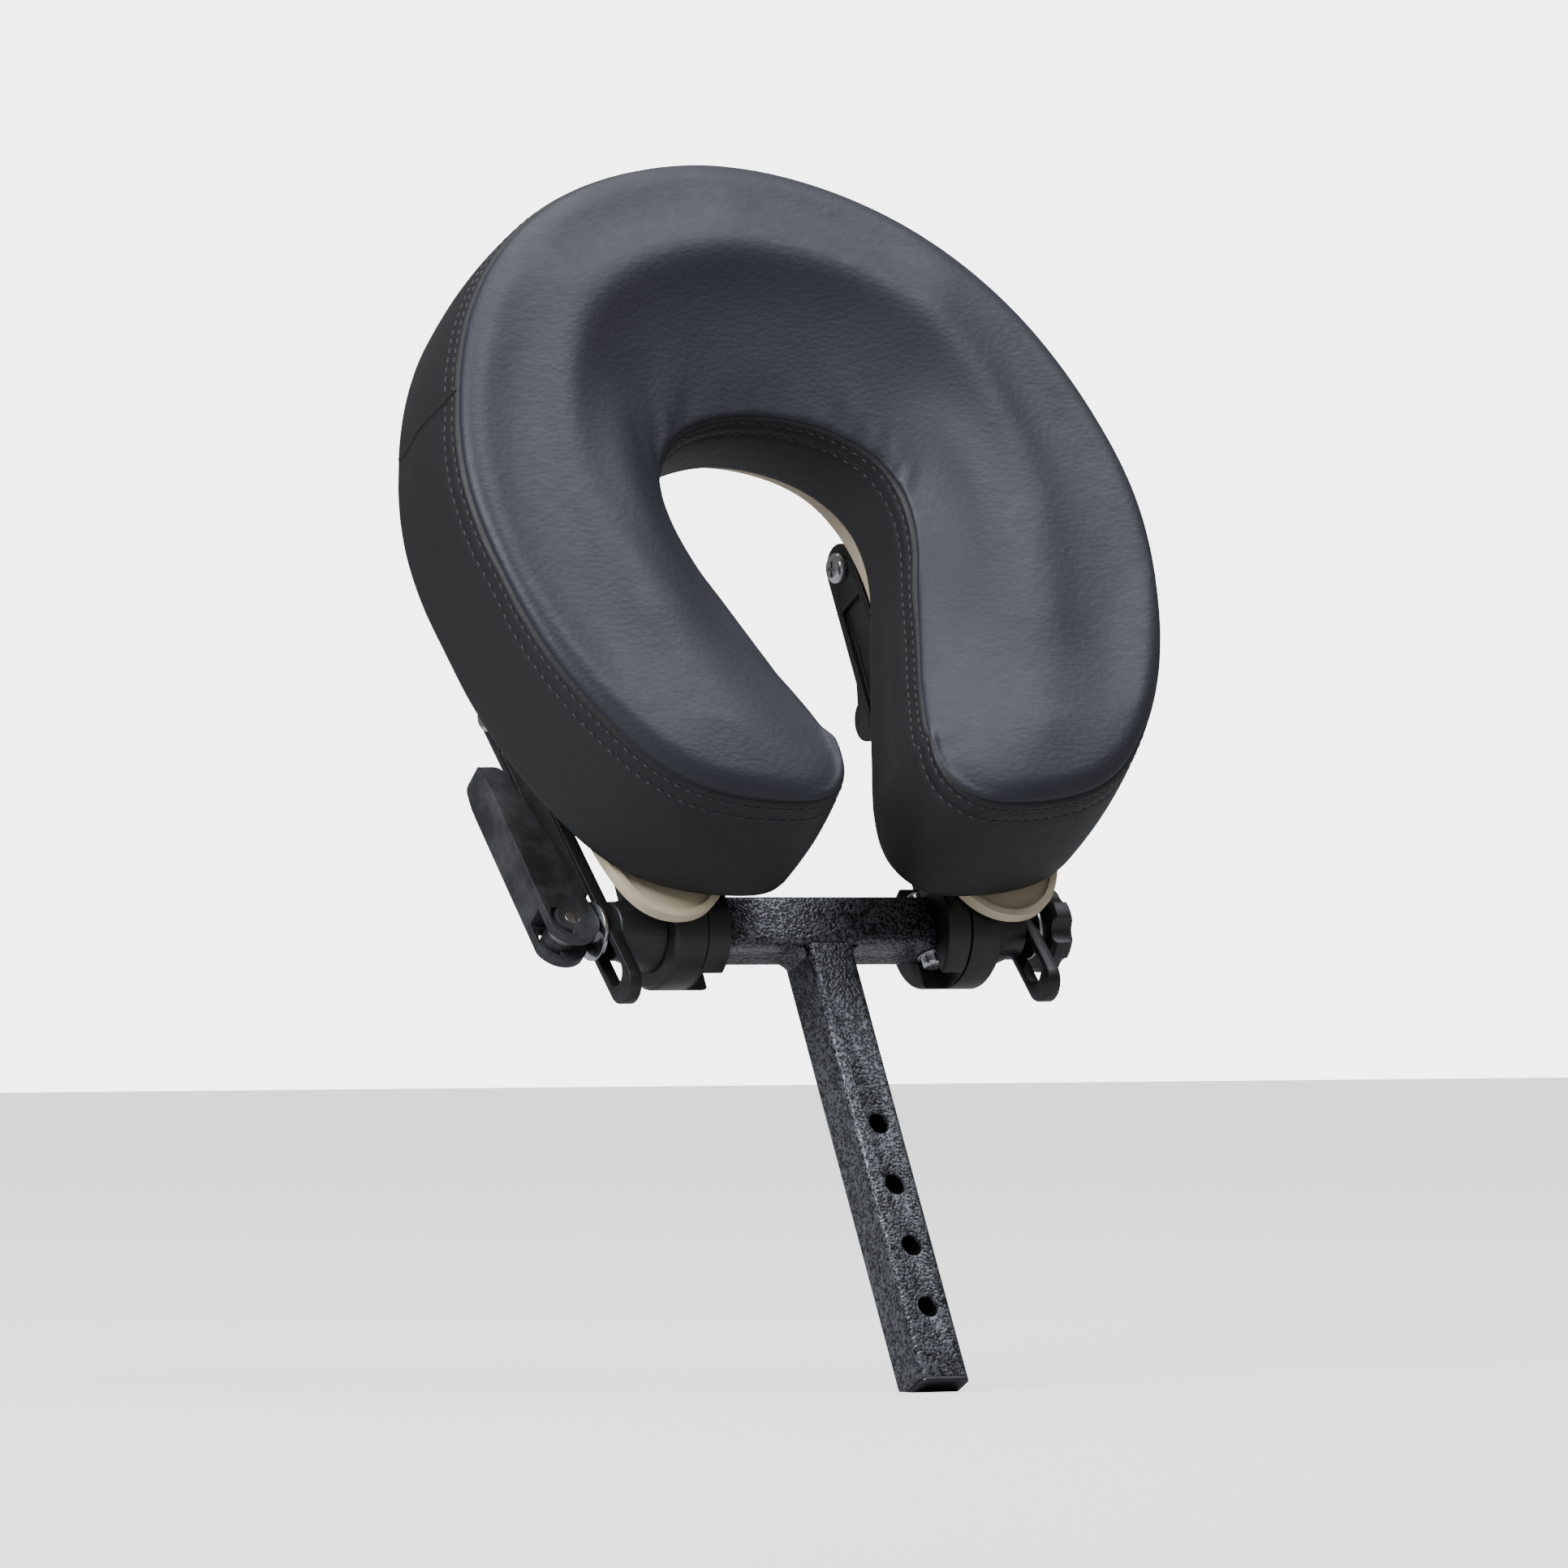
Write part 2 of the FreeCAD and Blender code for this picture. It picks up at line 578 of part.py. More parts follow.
# ---------------------------------------------------------------------------
# Platform
# ---------------------------------------------------------------------------
def platform_shell():
    outline = horseshoe(PLATE_HALF)
    plate = slab(outline, PLATE_N, PLATE_N + PLATE_T)
    ring = outline.cut(horseshoe(PLATE_HALF, RIM_W))
    rim = slab(ring, PLATE_N + PLATE_T, PLATE_N + PLATE_T + RIM_H)
    back = outline.cut(horseshoe(PLATE_HALF, BACK_RIM_W))
    flange = slab(back, PLATE_N - BACK_RIM, PLATE_N)
    flange = flange.common(box(-FAR, FAR, -FAR, FAR, BACK_RIM_FROM, FAR))
    out = plate.fuse([rim, flange]).removeSplitter()
    for x, v in bracket_screw_places():
        for side in (-1, 1):
            out = out.cut(Part.makeCylinder(
                BRACKET_SCREW_R, 2 * PLATE_T, V3(side * x, -PLATE_N + PLATE_T / 2, v), V3(0, -1, 0)))
    return out


def bracket_screw_places():
    x = BRACKET_IN + BRACKET_T + BRACKET_FOOT / 2
    return [(x, BRACKET_LOW + BRACKET_SCREW_END), (x, BRACKET_HIGH - BRACKET_SCREW_END)]


def bracket():
    """Right-hand bracket: foot on the platform, ear past the arm, boss for the link."""
    ear_out = BRACKET_IN + BRACKET_T
    y_foot = -PLATE_N
    ear = prism_x([
        (y_foot, BRACKET_LOW), (y_foot, BRACKET_HIGH), 
        (-PIVOT_N + BRACKET_SLOPE, BRACKET_HIGH - BRACKET_SLOPE),
        (-LINK_PIVOT_N + BRACKET_SLOPE, LINK_PIVOT_V), (-LINK_PIVOT_N, LINK_PIVOT_V - BRACKET_SLOPE),
    ], BRACKET_IN, ear_out)
    ear = ear.fuse([
        disc(BRACKET_BOSS_R, BRACKET_IN, ear_out, -PIVOT_N, PIVOT_V),
        disc(LINK_BOSS_R, BRACKET_IN, LINK_IN - SIDE_CLEAR, -LINK_PIVOT_N, LINK_PIVOT_V),
    ])
    foot_out = ear_out + BRACKET_FOOT
    foot = box(BRACKET_IN, foot_out, y_foot, y_foot + BRACKET_FOOT_T, BRACKET_LOW, BRACKET_HIGH)
    out = ear.fuse(foot)
    out = out.cut(disc(PIVOT_R + RUN_CLEAR, 0, FAR, -PIVOT_N, PIVOT_V))
    out = out.cut(disc(LINK_SCREW_R, LINK_IN - LINK_SCREW_BITE, FAR, -LINK_PIVOT_N, LINK_PIVOT_V))
    for x, v in bracket_screw_places():
        out = out.cut(Part.makeCylinder(
            BRACKET_SCREW_R, 3 * BRACKET_FOOT_T, V3(x, y_foot - BRACKET_FOOT_T, v), V3(0, 1, 0)))
    return out.removeSplitter()


def bracket_screws():
    """Four pan screws from the platform's front through the bracket feet."""
    front = PLATE_N + PLATE_T
    screws = []
    for x, v in bracket_screw_places():
        for side in (-1, 1):
            head = Part.makeCylinder(PAN_HEAD_R, PAN_HEAD_H, V3(side * x, -front, v), V3(0, -1, 0))
            shank = Part.makeCylinder(
                BRACKET_SCREW_R, PLATE_T + BRACKET_BITE, V3(side * x, -front, v), V3(0, 1, 0))
            screws.append(head.fuse(shank).removeSplitter())
    return Part.makeCompound(screws)


def hook_strips():
    """Strips of hook tape on the platform's front: crown and both limbs."""
    front = PLATE_N + PLATE_T
    places = [HOOK_CROWN]
    for x0, x1, low in HOOK_LIMBS:
        places += [(x0, x1, low), (-x1, -x0, low)]
    strips = [box(x0, x1, -front - HOOK_T, -front, low, low + HOOK_W) for x0, x1, low in places]
    return Part.makeCompound(strips)


# ---------------------------------------------------------------------------
# Cushion
# ---------------------------------------------------------------------------
def pad(inset, n0, n1, radius):
    """Closed horseshoe pad with a rounded front edge."""
    body = slab(horseshoe(CUSHION_HALF, inset), n0, n1)
    front = [e for e in body.Edges if e.BoundBox.YMax < -n1 + 0.1]
    return body.makeFillet(radius, front)


def cushion_parts():
    """Foam core and the four sewn panels round it."""
    front = CUSHION_N + BAND_H + CROWN_H
    seam = CUSHION_N + BAND_H
    whole = pad(0.0, CUSHION_N, front, CROWN_R)
    foam = pad(SKIN, CUSHION_N + BACK_T, front - SKIN, CROWN_R - SKIN)
    cover = whole.cut(foam)
    back = cover.common(box(-FAR, FAR, -CUSHION_N - BACK_T, 0, -FAR, FAR))
    panel = cover.common(box(-FAR, FAR, -FAR, -seam, -FAR, FAR))
    wall = cover.common(box(-FAR, FAR, -seam, -CUSHION_N - BACK_T, -FAR, FAR))
    return foam, back, panel, wall


def split_wall(wall):
    """Side wall cut into the outer band and the band round the opening."""
    right = [V3(x, 0, v) for x, v in SPLIT_HALF]
    left = [V3(-p.x, 0, p.z) for p in reversed(right[1:-1])]
    loop = right + left
    face = Part.Face(Part.makePolygon(loop + loop[:1]))
    region = slab(face, 0, FAR)
    return wall.cut(region), wall.common(region)


def main():
    save("post_tube", leaned(post_tube(), POST_LEAN))
    save("post_end_plug", leaned(post_end_plug(), POST_LEAN))
    save("crossbar_tube", leaned(crossbar_tube(), POST_LEAN))
    save("tee_weld", leaned(tee_weld(), POST_LEAN))
    block = clamp_block()
    save("clamp_block_right", leaned(block, POST_LEAN))
    save("clamp_block_left", leaned(mirrored(block), POST_LEAN))
    save("block_screws", leaned(block_screws(), POST_LEAN))

    right_arm = arm()
    save("arm_right", leaned(right_arm, CRADLE_LEAN))
    save("arm_left", leaned(mirrored(right_arm), CRADLE_LEAN))
    screws = Part.makeCompound([pivot_screw(), mirrored(pivot_screw())])
    save("pivot_screws", leaned(screws, CRADLE_LEAN))
    nuts = Part.makeCompound([pivot_nut(), mirrored(pivot_nut())])
    save("pivot_nuts", leaned(nuts, CRADLE_LEAN))
    save("spacer_right", leaned(spacer(), CRADLE_LEAN))
    save("spacer_left", leaned(mirrored(spacer()), CRADLE_LEAN))
    save("clamp_rod", leaned(clamp_rod(), LEVER_LEAN))
    save("cam_pin", leaned(cam_pin(), LEVER_LEAN))
    washers = Part.makeCompound([clamp_washer(WASHER_IN), clamp_washer(-WASHER_OUT)])
    save("clamp_washers", leaned(washers, CRADLE_LEAN))
    save("cam_lever", leaned(cam_lever(), LEVER_LEAN))
    save("star_knob", leaned(star_knob(), CRADLE_LEAN))
    save("knob_insert", leaned(knob_insert(), CRADLE_LEAN))

    link = slotted_link()
    link_lean = CRADLE_LEAN + LINK_REL_LEAN
    save("slotted_link_right", leaned(link, link_lean))
    save("slotted_link_left", leaned(mirrored(link), link_lean))
    shoulder = Part.makeCompound([link_screw(), mirrored(link_screw())])
    save("link_screws", leaned(shoulder, CRADLE_LEAN))

    save("platform_shell", leaned(platform_shell(), CRADLE_LEAN))
    save("platform_bracket_right", leaned(bracket(), CRADLE_LEAN))
    save("platform_bracket_left", leaned(mirrored(bracket()), CRADLE_LEAN))
    save("bracket_screws", leaned(bracket_screws(), CRADLE_LEAN))
    save("hook_strips", leaned(hook_strips(), CRADLE_LEAN))

    foam, back, panel, wall = cushion_parts()
    outer, inner = split_wall(wall)
    save("cushion_foam", leaned(foam, CRADLE_LEAN))
    save("cover_back_panel", leaned(back, CRADLE_LEAN))
    save("cover_front_panel", leaned(panel, CRADLE_LEAN))
    save("cover_outer_band", leaned(outer, CRADLE_LEAN))
    save("cover_inner_band", leaned(inner, CRADLE_LEAN))
    print("rod centre", tuple(round(c, 3) for c in ROD_CENTRE))
    print("link pivot n v", round(LINK_PIVOT_N, 3), round(LINK_PIVOT_V, 3), "pin x", PIN_X)


main()
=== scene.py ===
import json
import math

import bmesh
import bpy
import numpy as np
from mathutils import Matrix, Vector


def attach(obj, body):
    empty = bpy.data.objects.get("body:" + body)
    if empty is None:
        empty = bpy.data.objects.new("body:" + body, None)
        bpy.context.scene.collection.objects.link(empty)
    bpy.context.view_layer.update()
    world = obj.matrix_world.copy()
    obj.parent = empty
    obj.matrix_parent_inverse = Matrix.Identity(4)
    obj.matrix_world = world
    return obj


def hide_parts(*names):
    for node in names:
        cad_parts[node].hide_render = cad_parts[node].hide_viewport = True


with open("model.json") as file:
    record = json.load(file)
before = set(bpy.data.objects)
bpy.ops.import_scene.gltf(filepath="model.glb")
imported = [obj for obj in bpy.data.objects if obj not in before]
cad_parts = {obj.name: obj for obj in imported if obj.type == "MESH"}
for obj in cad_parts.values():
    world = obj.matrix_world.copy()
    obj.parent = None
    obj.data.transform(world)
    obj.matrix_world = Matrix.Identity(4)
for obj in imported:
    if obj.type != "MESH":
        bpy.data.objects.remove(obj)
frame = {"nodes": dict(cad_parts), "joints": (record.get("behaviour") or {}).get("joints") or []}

for loaded in bpy.context.selected_objects:
    loaded.select_set(False)
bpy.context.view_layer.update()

MM = 0.001
joints = {joint["name"]: joint for joint in frame["joints"]}
ROD = Vector(joints["arm_tilt"]["pos_m"])
FRONT = Vector(joints["cushion_lift"]["axis"]).normalized()
UP = Vector((0.0, FRONT.z, -FRONT.y))

# ---------------------------------------------------------------------------
# Stage: a pale floor under the post, soft lamps and the camera. The camera
# stands well back with a long lens, level with the crossbar.
# ---------------------------------------------------------------------------
CAMERA_AZIMUTH = -31.2
CAMERA_RISE = 0.012
CAMERA_DISTANCE = 4.305
CAMERA_LENS = 265.0
LOOK_AT = Vector((0.0, ROD.y + 0.02, ROD.z + 0.055))


def linear(hex_colour):
    """sRGB hex value to linear RGBA."""
    channels = []
    for start in (1, 3, 5):
        c = int(hex_colour[start:start + 2], 16) / 255
        channels.append(c / 12.92 if c <= 0.04045 else ((c + 0.055) / 1.055) ** 2.4)
    return (*channels, 1.0)


def new_material(name):
    material = bpy.data.materials.new(name)
    material.use_nodes = True
    tree = material.node_tree
    shader = next(n for n in tree.nodes if n.type == "BSDF_PRINCIPLED")
    return material, tree, shader


def add(tree, kind, settings=None, values=None, links=None):
    """Adds a node with its settings, input values and links from (node, output)."""
    node = tree.nodes.new(kind)
    for key, value in (settings or {}).items():
        setattr(node, key, value)
    for key, value in (values or {}).items():
        node.inputs[key].default_value = value
    for key, (source, output) in (links or {}).items():
        tree.links.new(source.outputs[output], node.inputs[key])
    return node


azimuth = math.radians(CAMERA_AZIMUTH)
toward = Vector((math.sin(azimuth), -math.cos(azimuth), 0.0))
stand = ROD + toward * CAMERA_DISTANCE + Vector((0, 0, CAMERA_RISE))
bpy.ops.object.camera_add(location=stand)
camera = bpy.context.object
camera.rotation_euler = (LOOK_AT - stand).to_track_quat("-Z", "Y").to_euler()
camera.data.lens = CAMERA_LENS
camera.data.clip_start = 0.1
bpy.context.scene.camera = camera

bpy.ops.mesh.primitive_plane_add(size=12.0, location=(0, 0, 0))
floor = bpy.context.object
floor.name = "floor"
# Matt paper, lifted to near white as seen, while it throws little light up at the object.
PAPER_LIFT = 1.6
paper, tree, shader = new_material("matt_white_paper")
shader.inputs["Base Color"].default_value = linear("#a8a8a8")
shader.inputs["Roughness"].default_value = 0.9
shader.inputs["Emission Color"].default_value = (1.0, 1.0, 1.0, 1.0)
seen = add(tree, "ShaderNodeLightPath")
lift = add(tree, "ShaderNodeMapRange", values={"To Max": PAPER_LIFT},
           links={"Value": (seen, "Is Camera Ray")})
tree.links.new(lift.outputs["Result"], shader.inputs["Emission Strength"])
floor.data.materials.append(paper)

# A white cyclorama seen behind the object, which lights it only softly.
BACKDROP_WHITE = 5.0
BACKDROP_LIGHT = 0.22
world = bpy.data.worlds.new("studio")
world.use_nodes = True
sky = world.node_tree
seen = add(sky, "ShaderNodeLightPath")
level = add(sky, "ShaderNodeMapRange", values={"To Min": BACKDROP_LIGHT, "To Max": BACKDROP_WHITE},
            links={"Value": (seen, "Is Camera Ray")})
sky.links.new(level.outputs["Result"], sky.nodes["Background"].inputs["Strength"])
sky.nodes["Background"].inputs["Color"].default_value = (1.0, 1.0, 1.0, 1.0)
bpy.context.scene.world = world


def soft_lamp(name, place, aim, size, power, tint):
    bpy.ops.object.light_add(type="AREA", location=place)
    lamp = bpy.context.object
    lamp.name = name
    lamp.data.size = size
    lamp.data.energy = power
    lamp.data.color = linear(tint)[:3]
    lamp.rotation_euler = (Vector(aim) - Vector(place)).to_track_quat("-Z", "Y").to_euler()


soft_lamp("key_lamp", (0.75, -0.62, 2.3), LOOK_AT, 1.3, 41, "#f4f7ff")
soft_lamp("left_lamp", (-1.9, -0.45, 1.7), LOOK_AT, 1.0, 82, "#f6f9ff")
soft_lamp("top_lamp", (0.1, 0.6, 2.4), LOOK_AT, 1.2, 26, "#f6f9ff")

# ---------------------------------------------------------------------------
# Cushion: a horseshoe of foam in a sewn synthetic-leather cover. A crowned
# front panel, dished round the face opening, is sewn to side bands; the back
# panel is loop fabric. The panels are inflated by cloth between their seams.
# ---------------------------------------------------------------------------
CROWN = 8.5                 # panel's rise over its seam
CROWN_ROLL = 8.0            # how quickly it rises from the outer seam, before it falls evenly to the inner
DIP_AT = (0.0, 0.3, 0.6, 0.85, 1.0)     # shares of the way from the crown to a tip
DIP = (18.0, 15.0, 15.0, 10.0, 4.0)     # inner seam's drop below the outer seam there
DISH_START = 0.40           # share of the width where the dish begins
DISH_EDGE = 0.24            # how sharply it begins over the crown, as a share of its width
BROW = 0.8                  # share of that sharp profile at the crown, none at the tips
BROW_FADE = (0.15, 0.6)     # shares of the way down over which it fades
BAND_BULGE = 2.0
TIP_SLANT = 9.0             # band runs down and back at the two tips
SLANT_FADE = (20.0, 110.0)  # heights over which that fades
SIDE_ROWS = 12
FRONT_ROWS = 13
BACK_ROWS = 4
LIMB_STEPS = 76
TIP_STEPS = 34
PRESSURE = 2.2
SWELL_LIMIT = 0.006         # metres that the cloth may move
CLOTH_STEPS = 20
STRETCH_STIFFNESS = 30
BEND_STIFFNESS = 2.0


def cad_outline(node):
    """The node's outline in its back plane, as (x, v) points in millimetres, in order."""
    bm = bmesh.new()
    bm.from_mesh(frame["nodes"][node].data)
    bmesh.ops.remove_doubles(bm, verts=bm.verts, dist=1e-6)
    back = {f for f in bm.faces if f.normal.dot(FRONT) < -0.99}
    lowest = min(f.calc_center_median().dot(FRONT) for f in back)
    back = {f for f in back if f.calc_center_median().dot(FRONT) < lowest + 1e-4}
    follow = {}
    for face in back:
        for loop in face.loops:
            other = loop.link_loop_radial_next
            if other is loop or other.face not in back:
                follow[loop.vert] = loop.link_loop_next.vert
    start = max(follow, key=lambda vert: (vert.co - ROD).dot(UP))
    chain = [start]
    while follow[chain[-1]] is not start:
        chain.append(follow[chain[-1]])
    points = [(vert.co.x / MM, (vert.co - ROD).dot(UP) / MM) for vert in chain]
    bm.free()
    if points[3][0] < 0:
        points = points[:1] + points[:0:-1]
    return np.array(points)


def walk(points, first, last, count):
    """Even steps along a polyline between the points nearest first and last."""
    i = int(np.argmin(np.hypot(*(points - first).T)))
    j = int(np.argmin(np.hypot(*(points - last).T)))
    part = points[i:j + 1]
    run = np.concatenate([[0], np.cumsum(np.hypot(*np.diff(part, axis=0).T))])
    steps = np.linspace(0, run[-1], count)
    return np.stack([np.interp(steps, run, part[:, 0]), np.interp(steps, run, part[:, 1])], 1)


def smooth(low, high, value):
    t = np.clip((value - low) / (high - low), 0.0, 1.0)
    return t * t * (3 - 2 * t)


def lowest_height(node):
    """Distance in front of the rod, in millimetres, of the node's rearmost point."""
    return min((v.co - ROD).dot(FRONT) for v in frame["nodes"][node].data.vertices) / MM


SEAM_BACK = lowest_height("cover_back_panel")
SEAM_FRONT = lowest_height("cover_front_panel")

outline = cad_outline("cover_back_panel")
closed = np.vstack([outline, outline[:1]])
right = closed[:len(closed) * 3 // 4]
crown_top = (0.0, closed[:, 1].max())
outer_corner = (121.0, 46.0)
inner_corner = (22.0, 42.0)
opening_top = (0.0, min(v for x, v in closed if abs(x) < 3.0 and v > 100.0))
outer = walk(right, crown_top, outer_corner, LIMB_STEPS + 1)
tip = walk(right, outer_corner, inner_corner, TIP_STEPS + 1)
inner = walk(right, inner_corner, opening_top, LIMB_STEPS + 1)[::-1]
outer[0, 0] = 0.0
inner[0, 0] = 0.0
middle = (outer + inner) / 2

# The rim runs round the whole outline. Each stop has its place, the middle point
# that its strip of the panel ends at, how far down the limb it is, and whether
# it lies on the outer side (0), the inner side (1) or between, round a tip.
stops = []
for i in range(LIMB_STEPS + 1):
    stops.append((outer[i], middle[i], i / LIMB_STEPS, 0.0, i))
for k in range(1, TIP_STEPS):
    stops.append((tip[k], middle[-1], 1.0, k / TIP_STEPS, LIMB_STEPS))
for i in range(LIMB_STEPS, -1, -1):
    stops.append((inner[i], middle[i], i / LIMB_STEPS, 1.0, i))
half_count = len(stops)
for place, centre, down, side, index in stops[half_count - 2:0:-1]:
    stops.append((place * (-1, 1), centre * (-1, 1), down, side, -index))
rim_count = len(stops)
rim = np.array([s[0] for s in stops])
centres = np.array([s[1] for s in stops])
down = np.array([s[2] for s in stops])
side = np.array([s[3] for s in stops])
outward = np.roll(rim, -1, axis=0) - np.roll(rim, 1, axis=0)
outward = np.stack([-outward[:, 1], outward[:, 0]], 1)
outward /= np.hypot(*outward.T)[:, None]
strip = np.hypot(*(centres - rim).T)

dip_at_inner = np.interp(down, DIP_AT, DIP)
slant = TIP_SLANT * (1 - smooth(*SLANT_FADE, rim[:, 1]))


def front_point(share):
    """Row of the front panel: share 0 at the seam, 1 at the middle of the limb."""
    place = rim + (centres - rim) * share
    across = np.where(side < 0.5, share / 2, 1 - share / 2)
    across = across * (1 - np.abs(np.sin(np.pi * side))) + 0.5 * np.abs(np.sin(np.pi * side))
    far = np.clip((across - DISH_START) / (1 - DISH_START), 0, 1)
    brow = (1 - np.exp(-far / DISH_EDGE)) / (1 - math.exp(-1 / DISH_EDGE))
    dish = dip_at_inner * (far + (brow - far) * BROW * (1 - smooth(*BROW_FADE, down)))
    rolled = (1 - np.exp(-strip * share / CROWN_ROLL)) / (1 - np.exp(-strip / CROWN_ROLL))
    inward = smooth(0.5, 1.0, side)
    rise = CROWN * ((1 - inward) * rolled + inward * math.sin(math.pi / 2 * share))
    height = SEAM_FRONT + rise - dish
    return place, height


def side_point(share):
    """Row of the side band: share 0 at the front seam, 1 at the back seam."""
    front_height = SEAM_FRONT - dip_at_inner * (side > 0.999)
    height = front_height + (SEAM_BACK - front_height) * share
    bulge = BAND_BULGE * math.sin(math.pi * share)
    place = rim + outward * bulge
    place[:, 1] -= slant * share
    return place, height


def back_point(share):
    place = rim + (centres - rim) * share
    place[:, 1] -= slant * (1 - share)
    return place, np.full(rim_count, SEAM_BACK)


rows = []
for r in range(FRONT_ROWS, 0, -1):
    rows.append(front_point(r / FRONT_ROWS))
front_seam_row = len(rows)
for r in range(SIDE_ROWS + 1):
    rows.append(side_point(r / SIDE_ROWS))
back_seam_row = len(rows) - 1
for r in range(1, BACK_ROWS + 1):
    rows.append(back_point(r / BACK_ROWS))


def to_metres(place, height):
    out = np.zeros((len(height), 3))
    out[:, 0] = place[:, 0] * MM
    out += np.outer(height * MM, np.array(FRONT)) + np.outer(place[:, 1] * MM, np.array(UP))
    return out + np.array(ROD)


grid = np.stack([to_metres(place, height) for place, height in rows], 1)


def grid_mesh(name, grid, panel_ends):
    """Closed mesh of the rim-by-row grid; strips that meet share their middle points."""
    count, depth = grid.shape[:2]
    index = np.arange(count * depth).reshape(count, depth)
    shared = {}
    for end in (0, depth - 1):
        for u, stop in enumerate(stops):
            key = (end, stop[4])
            index[u, end] = shared.setdefault(key, index[u, end])
    verts = grid.reshape(-1, 3)
    faces = []
    kinds = []
    for u in range(count):
        after = (u + 1) % count
        for r in range(depth - 1):
            loop = [index[u, r], index[u, r + 1], index[after, r + 1], index[after, r]]
            loop = [v for n, v in enumerate(loop) if v != loop[n - 1]]
            if len(loop) > 2:
                faces.append([int(v) for v in loop])
                kinds.append(0 if r < panel_ends[0] else (1 if r < panel_ends[1] else 2))
    used = sorted({v for face in faces for v in face})
    renumber = {v: n for n, v in enumerate(used)}
    mesh = bpy.data.meshes.new(name)
    mesh.from_pydata([tuple(verts[v]) for v in used], [], [[renumber[v] for v in f] for f in faces])
    for polygon, kind in zip(mesh.polygons, kinds):
        polygon.material_index = kind
    piece = bpy.data.objects.new(name, mesh)
    bpy.context.collection.objects.link(piece)
    places = np.vectorize(lambda v: renumber.get(int(v), -1))(index)
    return piece, places


def coordinates(mesh):
    flat = np.empty(len(mesh.vertices) * 3)
    mesh.vertices.foreach_get("co", flat)
    return flat.reshape(-1, 3)


def inflate(grid):
    """Blows the cover up by cloth with both seams and the back held, and returns the new grid."""
    piece, places = grid_mesh("cushion_cloth", grid, (front_seam_row, back_seam_row))
    held = piece.vertex_groups.new(name="held")
    fixed = np.unique(np.concatenate([
        places[:, front_seam_row], places[:, back_seam_row:].ravel()]))
    held.add([int(v) for v in fixed if v >= 0], 1.0, "REPLACE")
    cloth = piece.modifiers.new("cloth", "CLOTH")
    cloth.settings.use_pressure = True
    cloth.settings.uniform_pressure_force = PRESSURE
    cloth.settings.vertex_group_mass = "held"
    cloth.settings.effector_weights.gravity = 0.0
    cloth.settings.quality = 6
    cloth.settings.tension_stiffness = STRETCH_STIFFNESS
    cloth.settings.compression_stiffness = STRETCH_STIFFNESS
    cloth.settings.bending_stiffness = BEND_STIFFNESS
    cloth.collision_settings.use_collision = False
    cloth.point_cache.frame_start = 1
    cloth.point_cache.frame_end = CLOTH_STEPS
    scene = bpy.context.scene
    for step in range(1, CLOTH_STEPS + 1):
        scene.frame_set(step)
    shaped = piece.evaluated_get(bpy.context.evaluated_depsgraph_get())
    moved = coordinates(shaped.data)
    start = coordinates(piece.data)
    shift = moved - start
    length = np.linalg.norm(shift, axis=1)
    keep = np.minimum(1.0, SWELL_LIMIT / np.maximum(length, 1e-9))
    moved = start + shift * keep[:, None]
    out = grid.copy()
    known = places >= 0
    out[known] = moved[places[known]]
    bpy.data.objects.remove(piece)
    scene.frame_set(1)
    return out


grid = inflate(grid)

# Closer rows are laid beside each seam, so that the seam can pull in and the
# topstitching can press its two lines into the band.
SEAM_PULL = 1.6
SEAM_WIDTH = 1.3
STITCH_LINES = (4.0, 9.5)
STITCH_PRESS = 0.45
STITCH_WIDTH = 0.8
SHORT_STRIP = 30.0          # on a strip shorter than this the closer rows draw together
PANEL_ROWS = 13
BAND_ROWS = 10
panel_near = [0.0, 0.7, 1.5, 2.6, 4.2, 6.5]
band_near = [0.0, 0.7, 1.5, 2.4, 3.3, 4.0, 4.7, 5.8, 7.4, 8.8, 9.5, 10.2, 11.6, 14.0]


def resample(part, stops_mm, count_even):
    """Rows at the given distances from one end of each strip, then even rows to the other end."""
    steps = np.linalg.norm(np.diff(part, axis=1), axis=2) / MM
    out = np.empty((part.shape[0], len(stops_mm) + count_even, 3))
    gaps = np.empty((part.shape[0], len(stops_mm) + count_even))
    for u in range(part.shape[0]):
        run = np.concatenate([[0], np.cumsum(steps[u])])
        total = run[-1]
        near = np.array(stops_mm) * min(1.0, total / SHORT_STRIP)
        even = np.linspace(near[-1], total, count_even + 1)[1:]
        marks = np.concatenate([near, even])
        gaps[u] = marks
        for axis in range(3):
            out[u, :, axis] = np.interp(marks, run, part[u, :, axis])
    return out, gaps


front_part, front_gap = resample(grid[:, front_seam_row::-1], panel_near, PANEL_ROWS)
band_part, band_gap = resample(
    grid[:, front_seam_row:back_seam_row + 1], band_near, BAND_ROWS)
back_part = grid[:, back_seam_row + 1:]
fine = np.concatenate([front_part[:, ::-1], band_part[:, 1:], back_part], axis=1)
fine_front = front_part.shape[1] - 1
fine_back = fine_front + band_part.shape[1] - 1
gap = np.concatenate([front_gap[:, ::-1], band_gap[:, 1:]], axis=1)

depth_in = SEAM_PULL * np.exp(-(gap / SEAM_WIDTH) ** 2)
for line in STITCH_LINES:
    pressed = STITCH_PRESS * np.exp(-((gap - line) / STITCH_WIDTH) ** 2)
    pressed[:, :fine_front + 1] = 0
    depth_in += pressed


outside = np.outer(outward[:, 0], (1, 0, 0)) + np.outer(outward[:, 1], np.array(UP))
band_middle = (fine_front + fine_back) // 2


